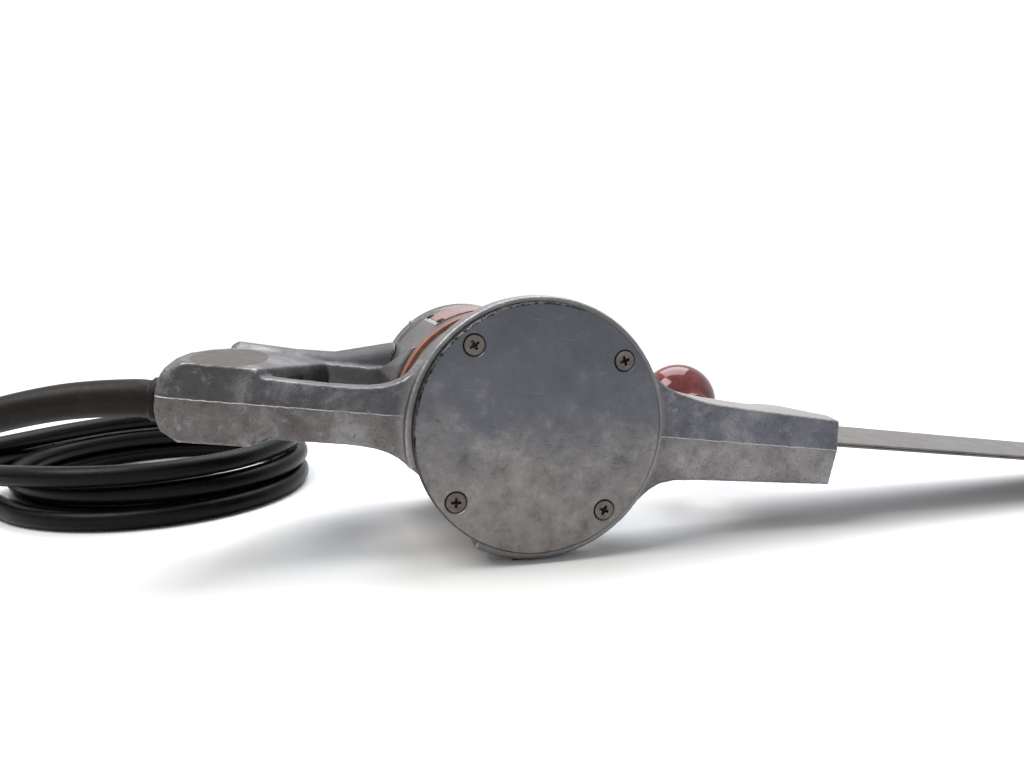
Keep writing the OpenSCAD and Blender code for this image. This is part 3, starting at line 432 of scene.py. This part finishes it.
def phenolic(name, stops, rough):
    """Phenolic resin, hot moulded and polished: deep colour with faint flow swirls, gloss dulled by hands."""
    made, tree, shader = new_material(
        name, IOR=1.6, Specular_IOR_Level=0.3, Coat_Weight=0.15, Coat_Roughness=0.06)
    here, _ = places(tree)
    swirls = add(tree, "TexNoise", Vector=here, Scale=grain(7), Detail=4, Roughness=0.55, Distortion=1.5)
    specks = add(tree, "TexNoise", Vector=here, Scale=grain(0.7), Detail=3, Roughness=0.55)
    film = add(tree, "TexNoise", Vector=here, Scale=grain(3), Detail=5, Roughness=0.7)
    base = add(tree, "ValToRGB", swirls, stops=stops)
    base = stained(tree, base, stops[0][1], specks, 0.64, 0.74, 0, 0.35)
    finish_with(tree, shader, base, add(tree, "MapRange", film, 0.3, 0.75, *rough), film, 0.03, edge_mm=0.3)
    return made


def fibre_vulcanised():
    """Vulcanised fibre, red-brown sheet rolled into a ring: laid fibres, oil-darkened patches, a dull skin."""
    made, tree, shader = new_material("fibre_vulcanised", IOR=1.5, Specular_IOR_Level=0.45)
    here, square = places(tree)
    patches = add(tree, "TexNoise", Vector=here, Scale=grain(6), Detail=5, Roughness=0.65)
    strands = streaked(tree, square, 6, 0.35, (0, 0, 1.57))
    base = add(tree, "ValToRGB", patches, stops=((0.3, "#553225"), (0.5, "#784835"), (0.7, "#8F5F4A")))
    base = stained(tree, base, "#5A3427", strands, 0.45, 0.75, 0, 0.4)
    finish_with(tree, shader, base, add(tree, "MapRange", patches, 0.3, 0.7, 0.45, 0.65), strands, 0.1)
    return made


GROOVE_TURN = math.radians(126.2)  # where the nameplate's groove runs, round the motor's axis


def plate_enamel():
    """Thin aluminium plate with faded red stoving enamel, rubbed through to pale metal along its edges."""
    made, tree, shader = new_material("plate_enamel", Metallic=0.25)
    here, square = places(tree)
    fade = add(tree, "TexNoise", Vector=here, Scale=grain(12), Detail=5, Roughness=0.6)
    wear = add(tree, "TexNoise", Vector=here, Scale=grain(2.2), Detail=6, Roughness=0.75)
    chips = add(tree, "TexNoise", Vector=here, Scale=grain(0.7), Detail=2, Roughness=0.55)
    base = add(tree, "ValToRGB", fade, stops=((0.3, "#6B423E"), (0.5, "#774D47"), (0.7, "#815953")))
    base = stained(tree, base, "#B1A9A7", wear, 0.60, 0.70, 0, 0.7)
    base = stained(tree, base, "#6E4540", wear, 0.28, 0.38, 0.6, 0)
    base = stained(tree, base, "#B9ACA8", chips, 0.54, 0.62, 0, 0.75)

    # bare strip at the plate's end, with a groove beside it
    x, _, z = add(tree, "SeparateXYZ", square).node.outputs
    turn = add(tree, "Math", add(tree, "Math", z, MOTOR[1] * MM, operation="SUBTRACT"),
               add(tree, "Math", x, MOTOR[0] * MM, operation="SUBTRACT"), operation="ARCTAN2")
    base = stained(tree, base, "#A09B9A", turn, GROOVE_TURN, GROOVE_TURN + math.radians(0.3), 0, 0.8)
    base = stained(tree, base, "#2A2523", band(tree, turn, GROOVE_TURN, 0.004, 0.008), 0, 1, 0, 1)
    # painted shade in the plate's hollows
    base = with_painted_hollow_shade(tree, base, 1.8, 0.9)
    finish_with(tree, shader, base, add(tree, "MapRange", wear, 0.3, 0.7, 0.35, 0.55), wear, 0.05, edge_mm=0.15)
    return made


def carbon_pressed():
    """Pressed carbon: black with a soft graphite sheen and sanded faces."""
    made, tree, shader = new_material("carbon_pressed", IOR=1.8)
    here, _ = places(tree)
    grit = add(tree, "TexNoise", Vector=here, Scale=grain(0.6), Detail=3, Roughness=0.55)
    base = add(tree, "ValToRGB", grit, stops=((0.3, "#151516"), (0.7, "#2C2C2E")))
    finish_with(tree, shader, base, add(tree, "MapRange", grit, 0.3, 0.7, 0.4, 0.6), grit, 0.04)
    return made


def gasket_paper():
    """Oiled gasket paper: near black, fibrous, with no shine at its edge."""
    made, tree, shader = new_material("gasket_paper", IOR=1.5, Specular_IOR_Level=0.2)
    here, _ = places(tree)
    fibres = add(tree, "TexNoise", Vector=here, Scale=grain(0.8), Detail=4, Roughness=0.55)
    base = add(tree, "ValToRGB", fibres, stops=((0.35, "#0E0D0C"), (0.75, "#262220")))
    finish_with(tree, shader, base, add(tree, "MapRange", fibres, 0.3, 0.7, 0.75, 0.95), fibres, 0.1)
    return made


# ---- materials: floor ------------------------------------------------------------------------

FADE_START = 0.55  # how far from the middle the table top begins to turn as white as the room
FADE_END = 1.5


def sees_white(tree):
    """1 for rays from the camera, straight or by way of a shiny or clear surface, and 0 for the rest."""
    path = add(tree, "LightPath").node.outputs
    mirrored = add(tree, "Math", path["Is Glossy Ray"], path["Is Transmission Ray"], operation="MAXIMUM")
    return add(tree, "Math", path["Is Camera Ray"], mirrored, operation="MAXIMUM")


def floor_laminate():
    """Matt white laminate, very faintly cloudy; far from the tool it is as white as the room."""
    made, tree, shader = new_material("floor_laminate", IOR=1.45, Specular_IOR_Level=0.1)
    here, _ = places(tree)
    clouds = add(tree, "TexNoise", Vector=here, Scale=grain(160), Detail=2, Roughness=0.55)
    base = add(tree, "ValToRGB", clouds, stops=((0.3, "#F4F4F3"), (0.7, "#F7F7F6")))
    finish_with(tree, shader, base, add(tree, "MapRange", clouds, 0.3, 0.7, 0.8, 0.9))
    away = add(tree, "VectorMath", here, operation="LENGTH", out="Value")
    fade = add(tree, "MapRange", away, FADE_START, FADE_END, 0, 1)
    fade = add(tree, "Math", fade, sees_white(tree), operation="MULTIPLY")
    glow = add(tree, "Emission", Color="#FFFFFF", Strength=1)
    mixed = add(tree, "MixShader", fade, shader.outputs[0], glow)
    tree.links.new(mixed, tree.nodes["Material Output"].inputs["Surface"])
    return made


# ---- finishes of the solids ------------------------------------------------------------------

cast_aged = cast_aluminium_aged()
cast_turned = cast_aluminium_turned()
cord_rubber = rubber("rubber_cord_jacket", ("#030303", "#090808", "#1F1C1A"), (0.24, 0.42), 0.11)
sleeve_rubber = rubber("rubber_moulded_sleeve", ("#0E0B09", "#1B1613", "#38302A"), (0.34, 0.52), 0.13, 14)
foot_rubber = rubber("rubber_foot", ("#131211", "#22201E", "#3A3633"), (0.6, 0.85), 0.2, 5)
knob_red = phenolic("phenolic_dark_red", ((0.3, "#531718"), (0.55, "#6B2121"), (0.75, "#80302E")), (0.05, 0.14))
rivet_black = steel("steel_blackened", ("#3E3A38", "#2A2725", "#171413"), (0.35, 0.5), (2, 0.3))

SLOT_FINISHES = {
    "cover_aluminium": cover_aluminium_lapped(),
    "cast_aluminium": cast_turned,
    "screw_steel": steel(
        "steel_zinc_plated", ("#77716D", "#5C5652", "#37312F"), (0.3, 0.48), (3, 0.3), hollow_shade=1, reach_mm=3.2),
    "gasket": gasket_paper(),
    "ring_fibre": fibre_vulcanised(),
    "bright_steel": steel("steel_bright_drawn", ("#C8C8CA", "#A9A9AC", "#77777A"), (0.2, 0.32)),
    "blade_steel": steel(
        "steel_spring_ground", ("#767170", "#625D5B", "#4E4948"), (0.28, 0.42), (70, 0.35),
        edge_mm=0.1, hollow_shade=0.5),
    "core_steel": steel(
        "steel_laminated_varnished", ("#5E5B5A", "#464342", "#2B2928"), (0.4, 0.6), (0.7, 8), metallic=0.7),
    "copper": copper_enamelled(),
    "bronze": bronze_sintered(),
    "brown_plastic": phenolic("phenolic_brown", ((0.3, "#2C1A12"), (0.7, "#4A2D1E")), (0.3, 0.5)),
    "black_plastic": phenolic("phenolic_black", ((0.3, "#0E0D0D"), (0.7, "#1C1A1A")), (0.22, 0.42)),
    "carbon": carbon_pressed(),
    "knob_plastic": knob_red,
    "plate_paint": plate_enamel(),
    "sleeve_rubber": sleeve_rubber,
    "cord_rubber": cord_rubber,
    "pin_brass": steel("brass_drawn", ("#D1B072", "#B8954F", "#7E6230"), (0.22, 0.38)),
}
NODE_FINISHES = {"front_foot": foot_rubber, "rear_foot": foot_rubber}
for node_name, node in cad_nodes.items():
    for place in node.material_slots:
        slot_name = place.material.name.split(".")[0]
        place.material = NODE_FINISHES.get(node_name) or SLOT_FINISHES[slot_name]


# ---- mesh helpers ----------------------------------------------------------------------------

def mesh_piece(name, built, finish):
    """Turns a bmesh into a smooth-shaded piece with its finish, riding on the tool."""
    data = bpy.data.meshes.new(name)
    built.to_mesh(data)
    built.free()
    piece = bpy.data.objects.new(name, data)
    scene.collection.objects.link(piece)
    for face in data.polygons:
        face.use_smooth = True
    data.materials.append(finish)
    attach(piece, "tool")
    return piece


def rings_to_faces(built, rings, close_ends=True):
    """Joins rings of vertices into a tube, with a fan at each end."""
    sides = len(rings[0])
    for ring, following in zip(rings, rings[1:]):
        for k in range(sides):
            m = (k + 1) % sides
            built.faces.new((ring[k], following[k], following[m], ring[m]))
    if close_ends:
        for ring, turn in ((rings[0], 1), (rings[-1], -1)):
            middle = built.verts.new(sum((v.co for v in ring), Vector()) / sides)
            for k in range(sides):
                built.faces.new((ring[k], ring[(k + 1) % sides], middle)[::turn])


def turned_shape(profile, start, axis, sides=96):
    """A lathe shape: profile is (distance along axis, radius) in mm, from start in metres."""
    built = bmesh.new()
    axis = axis.normalized()
    side = axis.orthogonal().normalized()
    up = axis.cross(side)
    rings = []
    for along, radius in profile:
        rings.append([
            built.verts.new(start + axis * along * MM + (
                side * math.cos(2 * math.pi * k / sides) + up * math.sin(2 * math.pi * k / sides)
            ) * radius * MM)
            for k in range(sides)
        ])
    rings_to_faces(built, rings)
    bmesh.ops.recalc_face_normals(built, faces=built.faces)
    return built


def smooth_line(points, steps):
    """Points on a Catmull-Rom line through points, steps to each span."""
    line = []
    for i in range(len(points) - 1):
        before = points[max(i - 1, 0)]
        here, there = points[i], points[i + 1]
        after = points[min(i + 2, len(points) - 1)]
        for s in range(steps):
            t = s / steps
            line.append(0.5 * (
                2 * here + (there - before) * t
                + (2 * before - 5 * here + 4 * there - after) * t * t
                + (3 * here - before - 3 * there + after) * t * t * t
            ))
    line.append(points[-1].copy())
    return line


# ---- cord ------------------------------------------------------------------------------------

CORD_D = 12
HANDLE_END = 175.6  # from the gear case's axis to the grip's end
CLAMPED = (-151, -165)  # where the cord lies on x inside the grip
ENTRY = (27, -4)  # the cord's middle in the grip, on y and z
COIL_CENTRE = (-208, 182.5)
COIL_R = 94.5
COIL_PITCH = 12.7
COIL_TURNS = 2.82
COIL_START = 150  # degrees
COIL_STEPS = 24  # points in each turn
LAYER_LOW = CORD_D / 2 + 0.05
LAYER_HIGH = LAYER_LOW + CORD_D + 0.5

SLEEVE_ROUTE = [at_rest(-HANDLE_END - out, *ENTRY) for out in (0.02, 2.4, 3.4, 10)]
SLEEVE_ROUTE += [
    Vector(p) * MM for p in (
        (-200, 9, 86.9), (-214, 9.5, 86), (-228, 10.5, 83.8), (-242, 12, 80.6), (-256, 14.5, 76.4),
        (-270, 18.5, 71.2), (-283, 24, 65.7),
    )
]
LEAD_ROUTE = [
    Vector(p) * MM for p in (
        (-299, 31, 59.5), (-316, 42, 53.5), (-332, 57, 48.5), (-341, 76, 44), (-344, 100, 40),
        (-341, 126, 36.5), (-330, 153, 33.5), (-315, 179, 31.5), (-297, 207, 31), (-277, 232, 31),
        (-252, 254, 31), (-221, 265, 31), (-189, 264, 31), (-161, 250, 31), (-139, 229, 31),
        (-127, 201, 31), (-124, 171, 31), (-134, 142, 31), (-153, 116, 31), (-178, 100, 31),
        (-207, 92, 31), (-238, 94, 31), (-267, 105, 30.5), (-290, 122, 28.5), (-305, 146, 25),
        (-310, 171, 21),
    )
]
TAIL_ROUTE = [Vector(p) * MM for p in ((-302, 149, 6.1), (-312, 161, 6.1), (-325, 171, 6.1), (-340, 177, 6.1))]


def coil_point(t):
    """The coil after t turns; it winds clockwise seen from above, in on top and out below."""
    radius = COIL_R - COIL_PITCH * min(t, COIL_TURNS - t)
    angle = math.radians(COIL_START - 360 * t)
    sink = max(0, min(1, 2 * t - COIL_TURNS + 0.5))
    return Vector((
        COIL_CENTRE[0] + radius * math.cos(angle), COIL_CENTRE[1] + radius * math.sin(angle),
        LAYER_HIGH + (LAYER_LOW - LAYER_HIGH) * sink,
    )) * MM


def coil_heading(t):
    """The way the coil runs after t turns."""
    angle = math.radians(COIL_START - 360 * t)
    return Vector((math.sin(angle), -math.cos(angle), 0)) * CORD_D * MM


def cord_line():
    """The whole centreline: inside the grip, the lead, the coil and the tail."""
    steps = math.ceil(COIL_TURNS * COIL_STEPS)
    lead = [at_rest(x, *ENTRY) for x in CLAMPED] + SLEEVE_ROUTE[:1] + SLEEVE_ROUTE[3:] + LEAD_ROUTE
    coil = [coil_point(0) - coil_heading(0)]
    coil += [coil_point(COIL_TURNS * i / steps) for i in range(steps + 1)]
    coil += [coil_point(COIL_TURNS) + coil_heading(COIL_TURNS)]
    return lead + coil + TAIL_ROUTE


def curve_piece(name, points, diameter_mm, finish):
    """A round cord on one open spline whose handles follow its neighbours."""
    data = bpy.data.curves.new(name, "CURVE")
    data.dimensions = "3D"
    data.bevel_depth = diameter_mm / 2 * MM
    data.bevel_resolution = 6
    data.resolution_u = 6
    data.use_fill_caps = True
    spline = data.splines.new("BEZIER")
    spline.bezier_points.add(len(points) - 1)
    last = len(points) - 1
    for i, (knot, point) in enumerate(zip(spline.bezier_points, points)):
        before, after = points[max(i - 1, 0)], points[min(i + 1, last)]
        heading = (after - before).normalized()
        knot.handle_left_type = knot.handle_right_type = "FREE"
        knot.co = point
        knot.handle_left = point - heading * (point - before).length / 3
        knot.handle_right = point + heading * (after - point).length / 3
    data.materials.append(finish)
    piece = bpy.data.objects.new(name, data)
    scene.collection.objects.link(piece)
    return piece


CORD_LINE = cord_line()
mains_cord = curve_piece("mains_cord", CORD_LINE, CORD_D, cord_rubber)
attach(mains_cord, "tool")
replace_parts(mains_cord, "cord_lead", "cord_coil", "cord_tail")


PLUG_R = 13.95
PLUG_LENGTH = 38
RIB_PITCH = 3


def plug_shape():
    """Round moulded plug: ribbed neck, flared skirt, gripping waist and a flat where it lies."""
    profile = [(0, 6.1), (0.05, 7.2), (0.6, 7.9)]
    for rib in range(4):
        start = 1.5 + rib * RIB_PITCH
        profile += [(start, 8.15), (start + 1.5, 8.15), (start + 1.9, 7.5), (start + 2.6, 7.5)]
    skirt = [(14, 8.2), (15, 8.8), (17, 10.3), (19.5, 12.3), (21.5, 13.6), (23, PLUG_R)]
    waist = [(26, PLUG_R), (26.6, 13.3), (28.4, 13.3), (29, PLUG_R)]
    face = [(36.6, PLUG_R), (37.6, 13.5), (PLUG_LENGTH - 0.02, 12.6), (PLUG_LENGTH, 0.5)]
    before, end = CORD_LINE[-2:]
    built = turned_shape(profile + skirt + waist + face, end, end - before, 72)
    for vertex in built.verts:
        vertex.co.z = max(vertex.co.z, 0.05 * MM)
    return built


plug = mesh_piece("plug_moulding", plug_shape(), cord_rubber)
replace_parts(plug, "plug_body")


# the sleeve's bead, as (distance along the sleeve, radius)
BEAD = (
    (0, 7.9), (4.8, 7.9), (5.02, 9.0), (5.4, 10.0), (6.2, 10.2), (7.2, 10.15), (7.9, 9.6), (8.4, 8.9),
    (9.2, 8.75),
)
SLEEVE_TAPER = 1.7
ROLL = 1.6  # length of the rolled far end
SLEEVE_SIDES = 48
MOULD_RIDGE = 0.28


def sleeve_shape():
    """Tapered rubber sleeve: a bead at the grip, a mould line on each side and a rolled end."""
    line = smooth_line([at_rest(-HANDLE_END + 5, *ENTRY)] + SLEEVE_ROUTE[:1] + SLEEVE_ROUTE[2:], 6)
    lengths = [0.0]
    for here, there in zip(line, line[1:]):
        lengths.append(lengths[-1] + (there - here).length / MM)
    total = lengths[-1]

    bead_end, root_r = BEAD[-1]

    def radius(s):
        for (s0, r0), (s1, r1) in zip(BEAD, BEAD[1:]):
            if s < s1:
                return r0 + (r1 - r0) * (s - s0) / (s1 - s0)
        if s > total - ROLL:
            return root_r - SLEEVE_TAPER - 0.75 * ((s - total + ROLL) / ROLL) ** 2
        return root_r - SLEEVE_TAPER * (s - bead_end) / (total - bead_end - ROLL)

    steps = {i * total / 150 for i in range(151)}
    steps |= {4.8, 5.02, 5.2, 5.4, 5.8, 6.2, 6.8, 7.2, 7.6, 7.9, 8.2, 8.4, 8.8}
    steps |= {total - back for back in (0.3, 0.6, 0.9, 1.2, ROLL)}
    built = bmesh.new()
    rings = []
    for s in sorted(steps):
        j = max(i for i, length in enumerate(lengths) if length <= s + 1e-9)
        j = min(j, len(line) - 2)
        share = (s - lengths[j]) / (lengths[j + 1] - lengths[j])
        middle = line[j].lerp(line[j + 1], share)
        before, after = line[max(j - 1, 0)], line[min(j + 2, len(line) - 1)]
        heading = (after - before).normalized()
        side = Vector((0, 0, 1)).cross(heading).normalized()
        up = heading.cross(side)
        ring = []
        for k in range(SLEEVE_SIDES):
            angle = 2 * math.pi * k / SLEEVE_SIDES
            # mould line: a thin ridge at the height of the sleeve's middle
            ridge = MOULD_RIDGE if k in (0, SLEEVE_SIDES // 2) and 9 < s < total - 2 else 0
            away = side * math.cos(angle) + up * math.sin(angle)
            ring.append(built.verts.new(middle + away * (radius(s) + ridge) * MM))
        rings.append(ring)
    # the far end is rolled in round the cord
    rings.append([built.verts.new(line[-1] + (v.co - line[-1]) * 0.965) for v in rings[-1]])
    rings_to_faces(built, rings, close_ends=False)
    bmesh.ops.recalc_face_normals(built, faces=built.faces)
    return built


sleeve = mesh_piece("cord_sleeve_moulding", sleeve_shape(), sleeve_rubber)
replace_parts(sleeve, "cord_sleeve")


# ---- body casting ----------------------------------------------------------------------------

def in_tool(point):
    """A point at rest, in metres, in the square-drawn tool in mm."""
    x, y, z = point / MM
    z -= AXIS_H
    return Vector((
        x * math.cos(TILT) - z * math.sin(TILT),
        y + FOOT_Y,
        x * math.sin(TILT) + z * math.cos(TILT),
    ))


def ease(value, low, high):
    """0 below low, 1 above high, smooth between."""
    t = min(max((value - low) / (high - low), 0), 1)
    return t * t * (3 - 2 * t)


DRAFT = 0.045  # how far a front face leans back for each step from the parting line
FRONT_FALL = 1.3
BACK_FALL = 1.8


def cast_draft(p):
    """Draft of the mould: front faces lean back from the parting line, and the neck's top falls away."""
    x, y, z = p
    off_case = ease(abs(x), 66, 74)
    front = 1 - ease(y, 11, 16)
    y += DRAFT * abs(z) * off_case * front
    neck_top = ease(x, 74, 96) * ease(z, 11, 16)
    z -= FRONT_FALL * neck_top * (1 - ease(y, 10, 24))
    z -= BACK_FALL * neck_top * (1 - ease(x, 120, 152)) * ease(y, 26, 40)
    return Vector((x, y, z))


def cast_piece(name, node_name, cell_mm, rounds, finish, draft=None):
    """A CAD casting made again in small cells and relaxed, which rounds its edges as cast ones are."""
    built = bmesh.new()
    built.from_mesh(cad_nodes[node_name].data)
    bmesh.ops.remove_doubles(built, verts=built.verts, dist=0.004 * MM)
    data = bpy.data.meshes.new(name + "_rough")
    built.to_mesh(data)
    built.free()
    rough = bpy.data.objects.new(name + "_rough", data)
    scene.collection.objects.link(rough)
    cells = rough.modifiers.new("cells", "REMESH")
    cells.mode = "VOXEL"
    cells.voxel_size = cell_mm * MM
    relax = rough.modifiers.new("relax", "SMOOTH")
    relax.factor = 0.5
    relax.iterations = rounds
    bpy.context.view_layer.update()
    made = bpy.data.meshes.new_from_object(rough.evaluated_get(bpy.context.evaluated_depsgraph_get()))
    bpy.data.objects.remove(rough)
    built = bmesh.new()
    built.from_mesh(made)
    bpy.data.meshes.remove(made)
    if draft:
        for vertex in built.verts:
            vertex.co = at_rest(*draft(in_tool(vertex.co)))
    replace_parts(mesh_piece(name, built, finish), node_name)


cast_piece("body_casting", "gear_case", 0.9, 4, cast_aged, cast_draft)
cast_piece("motor_casting", "motor_housing", 0.9, 2, cast_turned)


# ---- nameplate rivets ------------------------------------------------------------------------

PLATE_R = 50.1  # the nameplate's outer face, from the motor's axis
RIVET_TURNS = (68.5, 125)
RIVET_ROWS = (52.5, 89)
HEAD_R = 2.3
HEAD_RISE = 0.85
HEAD_RIM = 0.2


def rivet_heads():
    """Four domed rivet heads on the nameplate, with their shanks."""
    built = bmesh.new()
    dome = [(-3, 0.2), (-3, 1.15), (0.02, 1.15), (0.04, HEAD_R - 0.05), (HEAD_RIM, HEAD_R)]
    for degrees in range(12, 90, 12):
        bend = math.radians(degrees)
        dome.append((HEAD_RIM + HEAD_RISE * math.sin(bend), HEAD_R * math.cos(bend)))
    for turn in RIVET_TURNS:
        out = Vector((math.cos(math.radians(turn)), 0, math.sin(math.radians(turn))))
        for y in RIVET_ROWS:
            start = at_rest(MOTOR[0] + PLATE_R * out.x, y, MOTOR[1] + PLATE_R * out.z)
            away = start - at_rest(MOTOR[0], y, MOTOR[1])
            one = turned_shape(dome, start, away, 24)
            data = bpy.data.meshes.new("rivet")
            one.to_mesh(data)
            one.free()
            built.from_mesh(data)
            bpy.data.meshes.remove(data)
    return built


rivets = mesh_piece("nameplate_rivet_heads", rivet_heads(), rivet_black)
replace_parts(rivets, "nameplate_rivets")


# ---- knob ------------------------------------------------------------------------------------

KNOB_R = 24.6
KNOB_FLATNESS = 0.86
KNOB_MIDDLE = (118, 95, 8.1)
COLLAR_END = 26  # from the ball's middle to the collar's end


def knob_shape():
    """Ball knob: collar, waist and a ball a little flatter than round."""
    profile = [(0, 0.5), (0, 8.6), (0.15, 8.95), (0.8, 9.35), (1.5, 9.5), (2.3, 9.2), (3.4, 8.9), (4.6, 8.9)]
    profile.append((5.6, 9.4))
    for degrees in range(-60, 90, 3):
        bend = math.radians(degrees)
        profile.append((COLLAR_END + KNOB_R * KNOB_FLATNESS * math.sin(bend), KNOB_R * math.cos(bend)))
    profile.append((COLLAR_END + KNOB_R * KNOB_FLATNESS, 0.15))
    x, y, z = KNOB_MIDDLE
    return turned_shape(profile, at_rest(x, y - COLLAR_END, z), Vector((0, 1, 0)))


knob = mesh_piece("ball_knob", knob_shape(), knob_red)
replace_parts(knob, "knob")


# ---- floor, backdrop and light ---------------------------------------------------------------

FLOOR_RINGS_M = (0.4, 0.9, 1.8, 4, 9)
FLOOR_SIDES = 96


def floor_shape():
    """A round table top, in rings so that it stays smooth."""
    built = bmesh.new()
    turns = [2 * math.pi * k / FLOOR_SIDES for k in range(FLOOR_SIDES)]
    rings = [
        [built.verts.new((radius * math.cos(turn), radius * math.sin(turn), 0)) for turn in turns]
        for radius in FLOOR_RINGS_M
    ]
    rings_to_faces(built, rings, close_ends=False)
    built.faces.new(rings[0])
    bmesh.ops.recalc_face_normals(built, faces=built.faces)
    return built


floor_data = bpy.data.meshes.new("floor_top")
shape = floor_shape()
shape.to_mesh(floor_data)
shape.free()
floor = bpy.data.objects.new("floor_top", floor_data)
scene.collection.objects.link(floor)
floor_data.materials.append(floor_laminate())


LAMP_AIM = Vector((0, 0, 0.05))


def soft_lamp(name, spot, size, power, tint):
    """A square soft box, size metres wide, that faces the tool from spot."""
    data = bpy.data.lights.new(name, "AREA")
    data.shape = "SQUARE"
    data.size = size
    data.energy = power
    data.color = colour(tint)[:3]
    lamp = bpy.data.objects.new(name, data)
    scene.collection.objects.link(lamp)
    lamp.location = spot
    lamp.rotation_euler = (LAMP_AIM - Vector(spot)).to_track_quat("-Z", "Y").to_euler()


soft_lamp("key_left", (-0.75, -0.1, 1.3), 0.8, 17, "#FFFDF8")
soft_lamp("top_back", (0.3, 0.7, 1.5), 1.3, 26, "#F6F9FF")

world = bpy.data.worlds.new("studio_room")
scene.world = world
world.use_nodes = True
room = world.node_tree
room_light = room.nodes["Background"]
room_light.inputs["Color"].default_value = colour("#E4E7EC")
room_light.inputs["Strength"].default_value = 0.6
room_white = add(room, "Background", Color="#FFFFFF", Strength=1)
room_mix = add(room, "MixShader", sees_white(room), room_light.outputs[0], room_white)
room.links.new(room_mix, room.nodes["World Output"].inputs["Surface"])

scene.view_settings.view_transform = "Standard"
